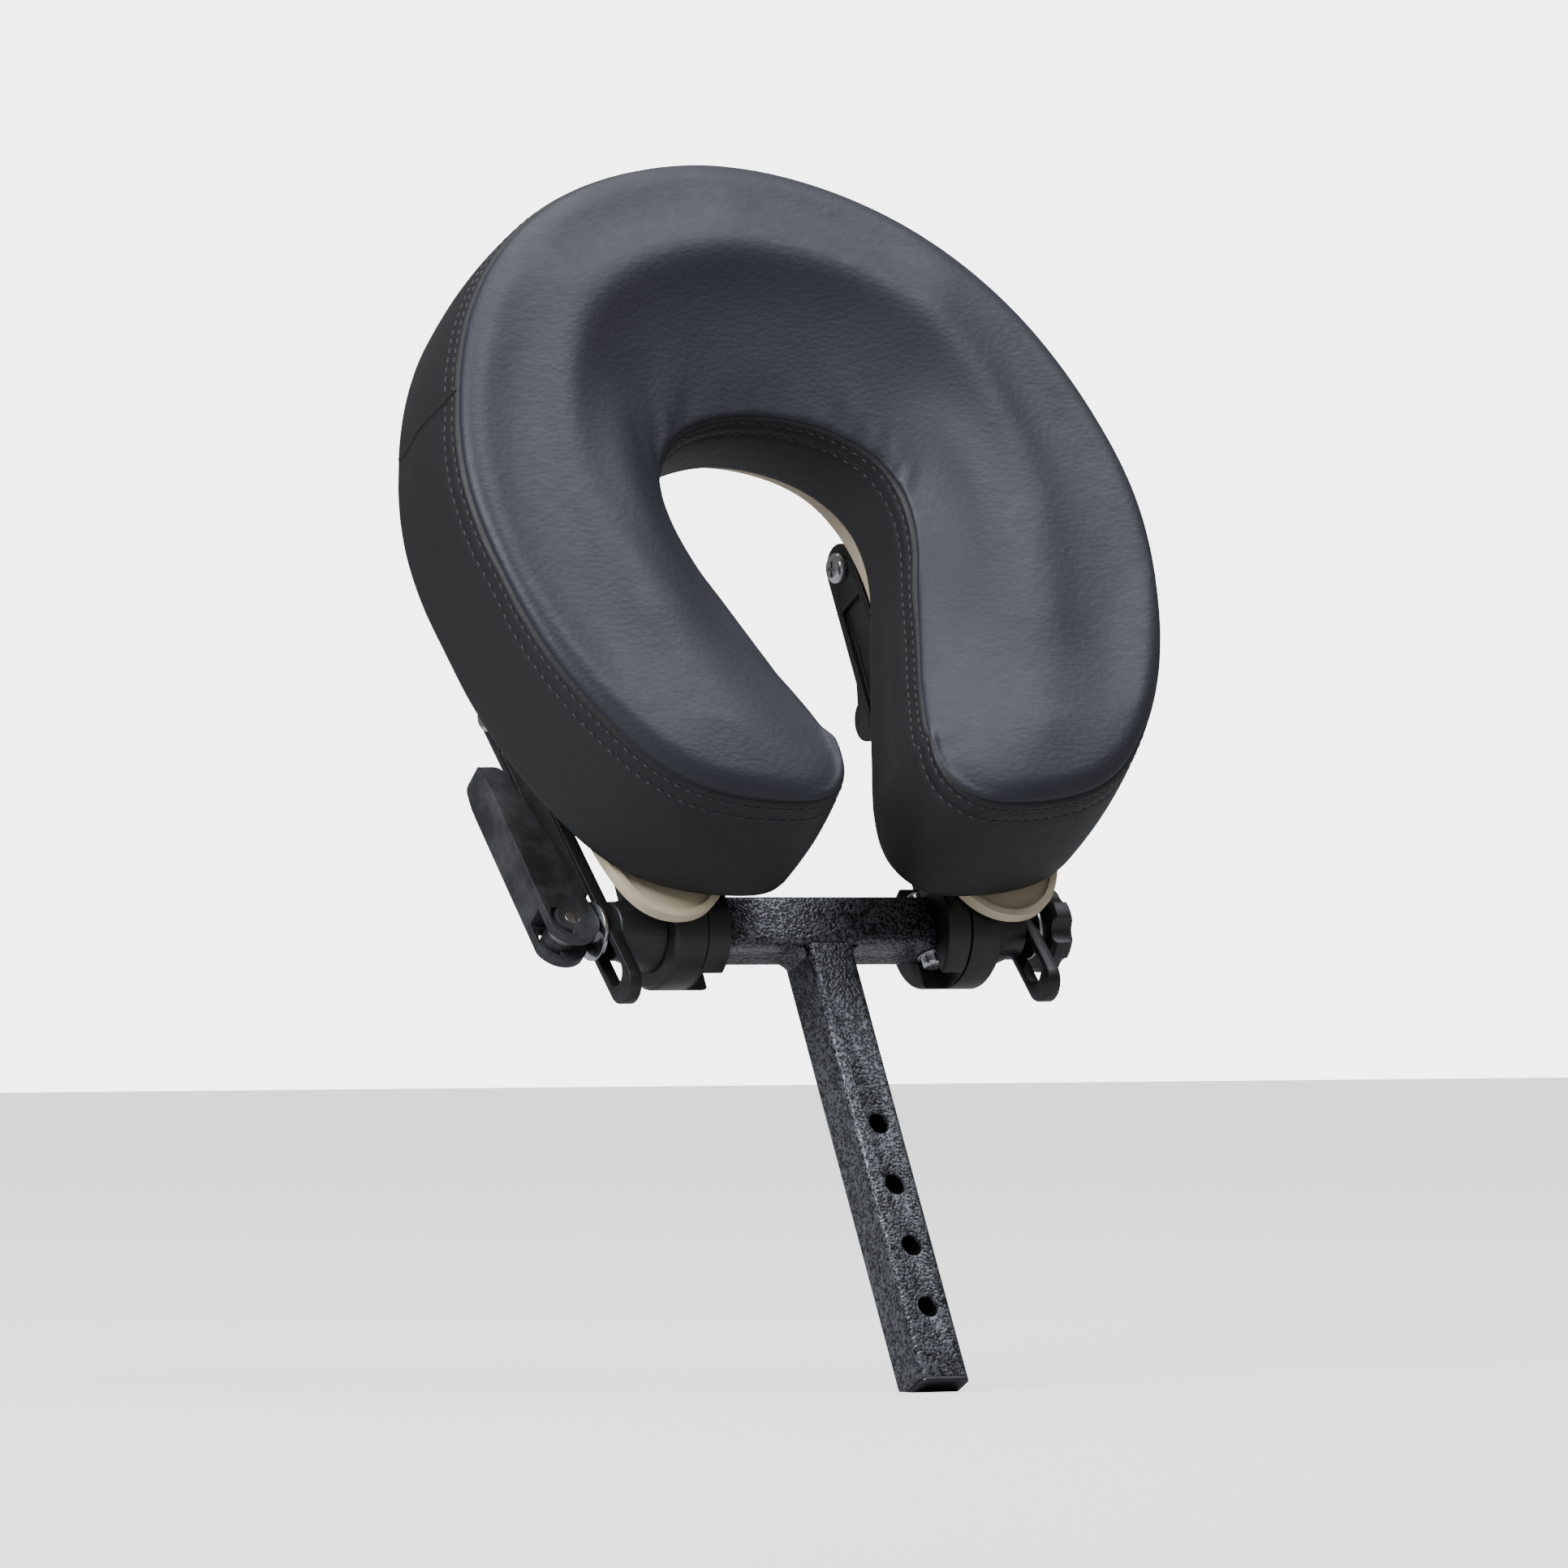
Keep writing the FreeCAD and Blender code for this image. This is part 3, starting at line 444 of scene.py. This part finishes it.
def grid_normals(grid):
    """Unit normals of the grid, pointing out of the cushion."""
    along = np.roll(grid, -1, axis=0) - np.roll(grid, 1, axis=0)
    across = np.gradient(grid, axis=1)
    normal = np.cross(along, across)
    normal /= np.maximum(np.linalg.norm(normal, axis=2), 1e-12)[:, :, None]
    return normal * math.copysign(1.0, (normal[:, band_middle] * outside).sum())


normals = grid_normals(fine)
fine[:, :depth_in.shape[1]] -= normals[:, :depth_in.shape[1]] * (depth_in * MM)[:, :, None]

# The panel gathers where it is sewn round the opening's two upper bends, and
# creases a little at the inner corner of each tip. All are in millimetres.
GATHER_PITCH = 10.0
GATHER_DEPTH = 0.32
GATHER_REACH = 13.0
GATHER_DRIFT = (1.7, 23.0)      # makes their pitch uneven: how much, and over what length
GATHERS_AT = (165.0, 17.0, 60.0)    # height, spread, and how far each side of the middle
CREASE_DEPTH = 0.25
CREASES_AT = (30.0, 16.0, 40.0)
run_round = np.concatenate([[0], np.cumsum(np.hypot(*np.diff(rim, axis=0).T))])


def near_height(height, spread, half_width):
    return np.exp(-((rim[:, 1] - height) / spread) ** 2) * (np.abs(rim[:, 0]) < half_width)


bend = near_height(*GATHERS_AT) * (side > 0.999)
corner = near_height(*CREASES_AT)
wave = np.cos(2 * math.pi * run_round / GATHER_PITCH
              + GATHER_DRIFT[0] * np.sin(run_round / GATHER_DRIFT[1]))
fold = (GATHER_DEPTH * bend + CREASE_DEPTH * corner) * wave
for r in range(fine.shape[1]):
    if 0 < r < fine_front:
        away = gap[:, r]
        share = fold * np.exp(-((away - 6.0) / GATHER_REACH) ** 2) * np.clip(away / 2.0, 0, 1)
        fine[:, r] += np.outer(share * MM, np.array(FRONT))

cushion, places = grid_mesh("cushion_cover", fine, (fine_front, fine_back))
bm = bmesh.new()
bm.from_mesh(cushion.data)
bmesh.ops.recalc_face_normals(bm, faces=bm.faces)
bm.to_mesh(cushion.data)
bm.free()
for polygon in cushion.data.polygons:
    polygon.use_smooth = True


def vinyl(name, deep, pale, roughness):
    """Soft polyurethane leather: a fine pebbled grain that breaks up a soft sheen."""
    material, tree, shader = new_material(name)
    place = add(tree, "ShaderNodeTexCoord")
    cloud = add(tree, "ShaderNodeTexNoise", values={"Scale": 22.0, "Detail": 3.0},
                links={"Vector": (place, "Object")})
    tint = add(tree, "ShaderNodeMix", {"data_type": "RGBA"},
               {6: linear(deep), 7: linear(pale)}, {0: (cloud, "Fac")})
    tree.links.new(tint.outputs[2], shader.inputs["Base Color"])
    stretch = add(tree, "ShaderNodeMapping", values={"Scale": (0.55, 1.0, 1.0)},
                  links={"Vector": (place, "Object")})
    pebbles = add(tree, "ShaderNodeTexVoronoi", {"feature": "SMOOTH_F1"},
                  {"Scale": 620.0, "Smoothness": 0.6}, {"Vector": (stretch, "Vector")})
    creases = add(tree, "ShaderNodeTexNoise", values={"Scale": 240.0, "Detail": 4.0},
                  links={"Vector": (stretch, "Vector")})
    both = add(tree, "ShaderNodeMath", {"operation": "MULTIPLY_ADD"}, {1: 0.3},
               {0: (creases, "Fac"), 2: (pebbles, "Distance")})
    bump = add(tree, "ShaderNodeBump", values={"Strength": 0.22, "Distance": 0.0005},
               links={"Height": (both, "Value")})
    tree.links.new(bump.outputs["Normal"], shader.inputs["Normal"])
    gloss = add(tree, "ShaderNodeMapRange", values={
        "From Min": 0.3, "From Max": 0.7, "To Min": roughness - 0.02, "To Max": roughness + 0.03},
        links={"Value": (creases, "Fac")})
    tree.links.new(gloss.outputs["Result"], shader.inputs["Roughness"])
    shader.inputs["IOR"].default_value = 1.5
    return material


cushion.data.materials.append(vinyl("synthetic_leather_front", "#1c1e27", "#23252e", 0.56))
cushion.data.materials.append(vinyl("synthetic_leather_band", "#111012", "#171618", 0.6))
loop_cloth, tree, shader = new_material("brushed_loop_fabric")
place = add(tree, "ShaderNodeTexCoord")
nap = add(tree, "ShaderNodeTexNoise", values={"Scale": 900.0, "Detail": 3.0},
          links={"Vector": (place, "Object")})
tint = add(tree, "ShaderNodeMix", {"data_type": "RGBA"}, {6: linear("#1b1b1e"), 7: linear("#303035")},
           {0: (nap, "Fac")})
tree.links.new(tint.outputs[2], shader.inputs["Base Color"])
shader.inputs["Roughness"].default_value = 0.95
cushion.data.materials.append(loop_cloth)
# The foam evens the panel out away from its seams, most of all in the ends of the limbs.
EVEN_FROM = 8.0
EVEN_TO = 20.0
LIMB_END = (20.0, 46.0)     # full within the first distance of a limb's end point, none past the second
EVEN_PASSES = 20
LIMB_END_PASSES = 90
end_points = [to_metres(middle[-1:] * (way, 1), np.array([SEAM_FRONT]))[0] for way in (1, -1)]
ends = np.min([np.linalg.norm(fine[:, :fine_front + 1] - point, axis=2) for point in end_points], axis=0) / MM
for passes, reach in ((EVEN_PASSES, np.ones_like(ends)), (LIMB_END_PASSES, 1 - smooth(*LIMB_END, ends))):
    evened = cushion.vertex_groups.new(name="evened")
    for r in range(fine_front + 1):
        for u in range(rim_count):
            weight = float(smooth(EVEN_FROM, EVEN_TO, gap[u, r]) * reach[u, r])
            if weight > 0 and places[u, r] >= 0:
                evened.add([int(places[u, r])], weight, "REPLACE")
    ease = cushion.modifiers.new("ease", "SMOOTH")
    ease.vertex_group = "evened"
    ease.factor = 0.5
    ease.iterations = passes
    bpy.context.view_layer.objects.active = cushion
    bpy.ops.object.modifier_apply(modifier="ease")
    cushion.vertex_groups.clear()
refine = cushion.modifiers.new("refine", "SUBSURF")
refine.levels = 1
refine.render_levels = 1
bpy.context.view_layer.objects.active = cushion
bpy.ops.object.modifier_apply(modifier="refine")
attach(cushion, "cushion")
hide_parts("cushion_foam", "cover_front_panel", "cover_outer_band", "cover_inner_band",
            "cover_back_panel")

# ---------------------------------------------------------------------------
# Topstitching: two rows of black polyester thread beside the front seam, sewn
# through the band, and a cross seam where the left band's two ends join.
# ---------------------------------------------------------------------------
STITCH_PITCH = 4.6
STITCH_LENGTH = 3.4
THREAD_R = 0.42
THREAD_SIDES = 6
CROSS_SEAM = (-137.0, 186.0)    # where the band's ends meet, as (x, v)
CROSS_SEAM_R = 0.7


def unit(vectors):
    return vectors / np.maximum(np.linalg.norm(vectors, axis=-1, keepdims=True), 1e-12)


def even_steps(line, vectors):
    """The vectors that go with a polyline of metres, taken once a stitch along it."""
    run = np.concatenate([[0], np.cumsum(np.linalg.norm(np.diff(line, axis=0), axis=1))])
    marks = np.arange(STITCH_PITCH * MM, run[-1], STITCH_PITCH * MM)
    return np.stack([np.interp(marks, run, vectors[:, axis]) for axis in range(3)], 1)


def stitches(line, face_way):
    """Spindles of thread laid along a line, each with two pointed ends."""
    verts = []
    faces = []
    places = even_steps(line, line)
    ways = unit(even_steps(line, face_way))
    for k in range(1, len(places) - 1):
        along = unit(places[k + 1] - places[k - 1])
        up = ways[k]
        across = np.cross(along, up)
        middle = places[k] + up * THREAD_R * 0.3 * MM
        first = len(verts)
        verts.append(middle - along * STITCH_LENGTH / 2 * MM - up * THREAD_R * MM)
        for share in (-0.28, 0.28):
            for corner in range(THREAD_SIDES):
                turn = 2 * math.pi * corner / THREAD_SIDES
                ring = across * math.cos(turn) + up * math.sin(turn)
                verts.append(middle + along * STITCH_LENGTH * share * MM + ring * THREAD_R * MM)
        verts.append(middle + along * STITCH_LENGTH / 2 * MM - up * THREAD_R * MM)
        last = len(verts) - 1
        for corner in range(THREAD_SIDES):
            after = (corner + 1) % THREAD_SIDES
            near, near_after = first + 1 + corner, first + 1 + after
            far, far_after = near + THREAD_SIDES, near_after + THREAD_SIDES
            faces += [(first, near_after, near), (near, near_after, far_after, far), (far, far_after, last)]
    return verts, faces


def piece_from(name, verts, faces):
    mesh = bpy.data.meshes.new(name)
    mesh.from_pydata([tuple(v) for v in verts], [], faces)
    bm = bmesh.new()
    bm.from_mesh(mesh)
    bmesh.ops.recalc_face_normals(bm, faces=bm.faces)
    bm.to_mesh(mesh)
    bm.free()
    piece = bpy.data.objects.new(name, mesh)
    bpy.context.collection.objects.link(piece)
    for polygon in mesh.polygons:
        polygon.use_smooth = True
    return piece


surface = grid_normals(fine)
thread_verts = []
thread_faces = []
for line in STITCH_LINES:
    row = fine_front + band_near.index(line)
    loop = np.vstack([fine[:, row], fine[:1, row]])
    ways = np.vstack([surface[:, row], surface[:1, row]])
    verts, faces = stitches(loop, ways)
    start = len(thread_verts)
    thread_verts += verts
    thread_faces += [tuple(v + start for v in face) for face in faces]

# Polyester thread: painted paler than the band, a painted sheen standing in for the gloss along each stitch,
# varied at random by fine noise.
thread, tree, shader = new_material("black_polyester_thread")
place = add(tree, "ShaderNodeTexCoord")
twist_and_painted_sheen = add(tree, "ShaderNodeTexNoise", values={"Scale": 1500.0}, links={"Vector": (place, "Object")})
# Painted sheen: both thread colours are set paler than the band to stand in for light on the glossy thread.
tint = add(tree, "ShaderNodeMix", {"data_type": "RGBA"}, {6: linear("#232327"), 7: linear("#3a3a40")},
           {0: (twist_and_painted_sheen, "Fac")})
tree.links.new(tint.outputs[2], shader.inputs["Base Color"])
shader.inputs["Roughness"].default_value = 0.6
topstitching = piece_from("topstitching", thread_verts, thread_faces)
topstitching.data.materials.append(thread)
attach(topstitching, "cushion")

joint_stop = int(np.argmin(np.hypot(*(rim - CROSS_SEAM).T)))
across_band = fine[joint_stop, fine_front + 2:fine_back]
band_ways = surface[joint_stop, fine_front + 2:fine_back]
ridge_verts = []
ridge_faces = []
for k, (spot, way) in enumerate(zip(across_band, band_ways)):
    step = across_band[min(k + 1, len(across_band) - 1)] - across_band[max(k - 1, 0)]
    sideways = np.cross(unit(step), way)
    for corner in range(THREAD_SIDES):
        turn = 2 * math.pi * corner / THREAD_SIDES
        ring = sideways * math.cos(turn) * 2.0 + way * math.sin(turn)
        ridge_verts.append(spot + ring * CROSS_SEAM_R * MM)
    if k:
        for corner in range(THREAD_SIDES):
            after = (corner + 1) % THREAD_SIDES
            old = (k - 1) * THREAD_SIDES
            new = k * THREAD_SIDES
            ridge_faces.append((old + corner, old + after, new + after, new + corner))
ridge_faces.append(tuple(range(THREAD_SIDES)))
ridge_faces.append(tuple(range(len(ridge_verts) - THREAD_SIDES, len(ridge_verts))))
cross_seam = piece_from("band_cross_seam", ridge_verts, ridge_faces)
cross_seam.data.materials.append(cushion.data.materials[1])
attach(cross_seam, "cushion")

# ---------------------------------------------------------------------------
# Post and crossbar: 20 mm square steel tube, cut, drilled and welded in a tee,
# then powder coated in hammertone charcoal. The tube's corners are rolled.
# ---------------------------------------------------------------------------
def rounded(name, node, edge, body, segments=2, shape=None):
    """A copy of a CAD node, shaped, with its sharp edges rounded by edge millimetres."""
    source = frame["nodes"][node]
    piece = bpy.data.objects.new(name, source.data.copy())
    bpy.context.collection.objects.link(piece)
    piece.data.materials.clear()
    bm = bmesh.new()
    bm.from_mesh(piece.data)
    bmesh.ops.remove_doubles(bm, verts=bm.verts, dist=2e-6)
    bmesh.ops.dissolve_limit(bm, angle_limit=math.radians(1.0), verts=bm.verts, edges=bm.edges)
    if shape:
        shape(bm)
    bm.to_mesh(piece.data)
    bm.free()
    bevel = piece.modifiers.new("round", "BEVEL")
    bevel.width = edge * MM
    bevel.segments = segments
    bevel.limit_method = "ANGLE"
    bevel.angle_limit = math.radians(32)
    bpy.context.view_layer.objects.active = piece
    piece.select_set(True)
    bpy.ops.object.modifier_apply(modifier="round")
    bpy.ops.object.shade_smooth_by_angle(angle=math.radians(35))
    piece.select_set(False)
    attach(piece, body)
    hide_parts(node)
    return piece


# Hammertone powder coat: the coat draws into dark pits about 1.2 mm across between
# pale silver-grey islands, which catch the light.
PIT = 1.15
hammertone, tree, shader = new_material("hammertone_powder_coat")
place = add(tree, "ShaderNodeTexCoord")
warp = add(tree, "ShaderNodeTexNoise", values={"Scale": 1.0 / (2.5 * PIT * MM), "Detail": 2.0},
           links={"Vector": (place, "Object")})
pits = add(tree, "ShaderNodeTexVoronoi", {"feature": "SMOOTH_F1"},
           {"Scale": 1.0 / (PIT * MM), "Smoothness": 0.35}, {"Vector": (place, "Object")})
mixed = add(tree, "ShaderNodeMath", {"operation": "MULTIPLY"}, {}, {0: (pits, "Distance"), 1: (warp, "Fac")})
steps = add(tree, "ShaderNodeMapRange", values={"From Min": 0.12, "From Max": 0.36},
            links={"Value": (mixed, "Value")})
tint = add(tree, "ShaderNodeMix", {"data_type": "RGBA"}, {6: linear("#0f1012"), 7: linear("#5a5d62")},
           {0: (steps, "Result")})
tree.links.new(tint.outputs[2], shader.inputs["Base Color"])
relief = add(tree, "ShaderNodeBump", values={"Strength": 0.6, "Distance": 0.0003},
             links={"Height": (steps, "Result")})
tree.links.new(relief.outputs["Normal"], shader.inputs["Normal"])
shader.inputs["Metallic"].default_value = 0.35
shader.inputs["Roughness"].default_value = 0.34
for name, node in (("post", "post_tube"), ("crossbar", "crossbar_tube")):
    tube = rounded(name, node, 0.3, "frame")
    tube.data.materials.append(hammertone)
for slot in frame["nodes"]["tee_weld"].material_slots:
    slot.material = hammertone

# ---------------------------------------------------------------------------
# Nylon mouldings: clamp blocks, arms, spacers, slotted links, brackets and the
# post's end plug, injection moulded in black glass-filled nylon.
# ---------------------------------------------------------------------------
def moulded(name, deep, pale, roughness, grain):
    """Spark-eroded mould texture of that grain in millimetres, rubbed slightly paler in patches."""
    material, tree, shader = new_material(name)
    place = add(tree, "ShaderNodeTexCoord")
    rub = add(tree, "ShaderNodeTexNoise", values={"Scale": 45.0, "Detail": 5.0, "Roughness": 0.65},
              links={"Vector": (place, "Object")})
    patches = add(tree, "ShaderNodeMapRange", values={"From Min": 0.42, "From Max": 0.72},
                  links={"Value": (rub, "Fac")})
    tint = add(tree, "ShaderNodeMix", {"data_type": "RGBA"}, {6: linear(deep), 7: linear(pale)},
               {0: (patches, "Result")})
    tree.links.new(tint.outputs[2], shader.inputs["Base Color"])
    spark = add(tree, "ShaderNodeTexNoise", values={"Scale": 1.0 / (grain * MM), "Detail": 3.0},
                links={"Vector": (place, "Object")})
    relief = add(tree, "ShaderNodeBump", values={"Strength": 0.3, "Distance": 0.00015},
                 links={"Height": (spark, "Fac")})
    tree.links.new(relief.outputs["Normal"], shader.inputs["Normal"])
    gloss = add(tree, "ShaderNodeMapRange", values={"To Min": roughness - 0.06, "To Max": roughness + 0.08},
                links={"Value": (rub, "Fac")})
    tree.links.new(gloss.outputs["Result"], shader.inputs["Roughness"])
    shader.inputs["IOR"].default_value = 1.53
    return material


nylon = moulded("moulded_black_nylon", "#0d0d0f", "#1c1d1f", 0.42, 0.8)
for name, node, edge, body in (
        ("block_right", "clamp_block_right", 0.5, "frame"), ("block_left", "clamp_block_left", 0.5, "frame"),
        ("end_plug", "post_end_plug", 0.5, "frame"),
        ("arm_moulding_right", "arm_right", 0.8, "arms"), ("arm_moulding_left", "arm_left", 0.8, "arms"),
        ("collar_right", "spacer_right", 0.8, "arms"), ("collar_left", "spacer_left", 0.8, "arms"),
        ("link_right", "slotted_link_right", 0.7, "tilt_links"),
        ("link_left", "slotted_link_left", 0.7, "tilt_links"),
        ("bracket_moulding_right", "platform_bracket_right", 0.8, "platform"),
        ("bracket_moulding_left", "platform_bracket_left", 0.8, "platform")):
    moulding = rounded(name, node, edge, body)
    moulding.data.materials.append(nylon)

# ---------------------------------------------------------------------------
# Cam lever and star knob: hand parts moulded in black nylon, with soft
# edges. The lever's nylon is painted paler grey than the knob's all over, painted
# light standing in for the light on its flat outer face, with paler rubbed patches.
TONGUE_LONG = 16.0          # the grip's end narrows over this length, seen on its flat face
TONGUE_IN = 6.0             # and by this much each side
TONGUE_CUTS = (0, 15, 30, 42, 54)   # degrees round each corner where it is cut into bands
PIN = Vector(joints["cam_swing"]["pos_m"])
PIN_WAY = Vector(joints["cam_swing"]["axis"]).normalized()
LEVER_WAY = PIN_WAY.cross(Vector((1, 0, 0)))
LEVER_WAY *= math.copysign(1.0, LEVER_WAY.z)


def round_tongue(bm):
    """Rounds the end of the grip across its width."""
    end = max((v.co - PIN).dot(LEVER_WAY) for v in bm.verts)
    half = max(abs((v.co - PIN).dot(PIN_WAY)) for v in bm.verts)
    start = end - TONGUE_LONG * MM
    for turn in TONGUE_CUTS:
        cut = start + TONGUE_LONG * MM * math.sin(math.radians(turn))
        bmesh.ops.bisect_plane(bm, geom=bm.verts[:] + bm.edges[:] + bm.faces[:],
                               plane_co=PIN + LEVER_WAY * cut, plane_no=LEVER_WAY)
    for vert in bm.verts:
        share = ((vert.co - PIN).dot(LEVER_WAY) - start) / (TONGUE_LONG * MM)
        if share > 0:
            drop = 1 - math.sqrt(max(0.0, 1 - share * share))
            vert.co -= PIN_WAY * (vert.co - PIN).dot(PIN_WAY) / half * TONGUE_IN * MM * drop


# Painted light: the lever's colours are paler than the other nylon, standing in for light falling on its flat
# outer face; the noise adds rubbed patches.
lever_nylon_painted_lit = moulded("black_nylon_rubbed_and_painted_lit", "#1a1a1c", "#424346", 0.52, 1.0)
lever = rounded("lever_grip", "cam_lever", 1.7, "cam_lever", 4, round_tongue)
lever.data.materials.append(lever_nylon_painted_lit)
knob = rounded("knob_grip", "star_knob", 1.3, "star_knob", 4)
knob.data.materials.append(nylon)

# ---------------------------------------------------------------------------
# Platform: a horseshoe tray moulded in cream ABS. Its raised rim and turned
# back edge stiffen it, and strips of hook tape are stuck to its front.
# ---------------------------------------------------------------------------
# Cream ABS: satin from the mould, a little warmer where it is thin or aged.
cream, tree, shader = new_material("moulded_cream_abs")
place = add(tree, "ShaderNodeTexCoord")
age = add(tree, "ShaderNodeTexNoise", values={"Scale": 18.0, "Detail": 4.0},
          links={"Vector": (place, "Object")})
tint = add(tree, "ShaderNodeMix", {"data_type": "RGBA"}, {6: linear("#c2b294"), 7: linear("#d8cbb0")},
           {0: (age, "Fac")})
tree.links.new(tint.outputs[2], shader.inputs["Base Color"])
skin = add(tree, "ShaderNodeTexNoise", values={"Scale": 1400.0}, links={"Vector": (place, "Object")})
relief = add(tree, "ShaderNodeBump", values={"Strength": 0.15, "Distance": 0.0001},
             links={"Height": (skin, "Fac")})
tree.links.new(relief.outputs["Normal"], shader.inputs["Normal"])
shader.inputs["Roughness"].default_value = 0.38
shader.inputs["IOR"].default_value = 1.54
tray = rounded("platform_tray", "platform_shell", 0.7, "platform", 3)
tray.data.materials.append(cream)

# Hook tape: rows of stiff black hooks 1.6 mm apart on a woven ground.
hooks, tree, shader = new_material("woven_hook_tape")
place = add(tree, "ShaderNodeTexCoord")
rows_of_hooks = add(tree, "ShaderNodeTexVoronoi", values={"Scale": 1.0 / (1.6 * MM)},
                    links={"Vector": (place, "Object")})
tint = add(tree, "ShaderNodeMix", {"data_type": "RGBA"}, {6: linear("#2a2a2d"), 7: linear("#0b0b0c")},
           {0: (rows_of_hooks, "Distance")})
tree.links.new(tint.outputs[2], shader.inputs["Base Color"])
relief = add(tree, "ShaderNodeBump", values={"Strength": 0.9, "Distance": 0.0006},
             links={"Height": (rows_of_hooks, "Distance")})
tree.links.new(relief.outputs["Normal"], shader.inputs["Normal"])
shader.inputs["Roughness"].default_value = 0.85
for slot in frame["nodes"]["hook_strips"].material_slots:
    slot.material = hooks

# ---------------------------------------------------------------------------
# Fasteners: bright zinc-plated screws, nuts and washers, the turned steel rod
# and cam pin, and the knob's brass insert.
# ---------------------------------------------------------------------------
def metal(name, deep, pale, roughness, line):
    """Metal with fine tool marks spaced by line millimetres, slightly uneven in gloss."""
    material, tree, shader = new_material(name)
    place = add(tree, "ShaderNodeTexCoord")
    marks = add(tree, "ShaderNodeTexNoise", values={"Scale": 1.0 / (line * MM), "Detail": 3.0},
                links={"Vector": (place, "Object")})
    tint = add(tree, "ShaderNodeMix", {"data_type": "RGBA"}, {6: linear(deep), 7: linear(pale)},
               {0: (marks, "Fac")})
    tree.links.new(tint.outputs[2], shader.inputs["Base Color"])
    gloss = add(tree, "ShaderNodeMapRange", values={"To Min": roughness - 0.06, "To Max": roughness + 0.1},
                links={"Value": (marks, "Fac")})
    tree.links.new(gloss.outputs["Result"], shader.inputs["Roughness"])
    shader.inputs["Metallic"].default_value = 1.0
    return material


zinc = metal("bright_zinc_plate", "#a9abae", "#d6d8da", 0.24, 2.0)
turned_steel = metal("turned_steel", "#8d8f92", "#b9bbbe", 0.3, 0.6)
turned_brass = metal("turned_brass", "#a8874a", "#c9a867", 0.3, 0.6)

# Cross recess, cut with two crossed wedges into the domed head of each pivot screw.
RECESS_LONG = 6.0
RECESS_WIDE = 1.3
RECESS_DEEP = 1.6
screw_mesh = frame["nodes"]["pivot_screws"].data
inner_end = min(abs(v.co.x) for v in screw_mesh.vertices)
pivots = [v.co for v in screw_mesh.vertices if abs(abs(v.co.x) - inner_end) < 0.2 * MM]
pivot_y = sum(co.y for co in pivots) / len(pivots)
pivot_z = sum(co.z for co in pivots) / len(pivots)
pivot_screws = rounded("pivot_screw_pair", "pivot_screws", 0.15, "arms")
for side_way in (-1, 1):
    for long_y, long_z in ((RECESS_LONG, RECESS_WIDE), (RECESS_WIDE, RECESS_LONG)):
        bpy.ops.mesh.primitive_cube_add(size=1.0, location=(side_way * inner_end, pivot_y, pivot_z))
        cutter = bpy.context.object
        cutter.scale = (2 * RECESS_DEEP * MM, long_y * MM, long_z * MM)
        cut = pivot_screws.modifiers.new("recess", "BOOLEAN")
        cut.operation = "DIFFERENCE"
        cut.solver = "EXACT"
        cut.object = cutter
        bpy.context.view_layer.update()
        cutter.select_set(False)
        bpy.context.view_layer.objects.active = pivot_screws
        bpy.ops.object.modifier_apply(modifier="recess")
        bpy.data.objects.remove(cutter)
pivot_screws.data.materials.append(zinc)
for name, node, edge, body, finish, slot_name in (
        ("link_screw_pair", "link_screws", 0.2, "platform", zinc, "zinc_steel"),
        ("block_screw_set", "block_screws", 0.2, "frame", zinc, "zinc_steel"),
        ("pivot_nut_pair", "pivot_nuts", 0.3, "arms", zinc, "zinc_steel"),
        ("washer_pair", "clamp_washers", 0.25, "arms", zinc, "zinc_steel"),
        ("bracket_screw_set", "bracket_screws", 0.3, "platform", zinc, "zinc_steel"),
        ("through_rod", "clamp_rod", 0.3, "arms", turned_steel, "rod_steel"),
        ("pin", "cam_pin", 0.3, "arms", turned_steel, "rod_steel"),
        ("insert", "knob_insert", 0.2, "star_knob", turned_brass, "brass")):
    fastener = rounded(name, node, edge, body)
    fastener.data.materials.append(finish)
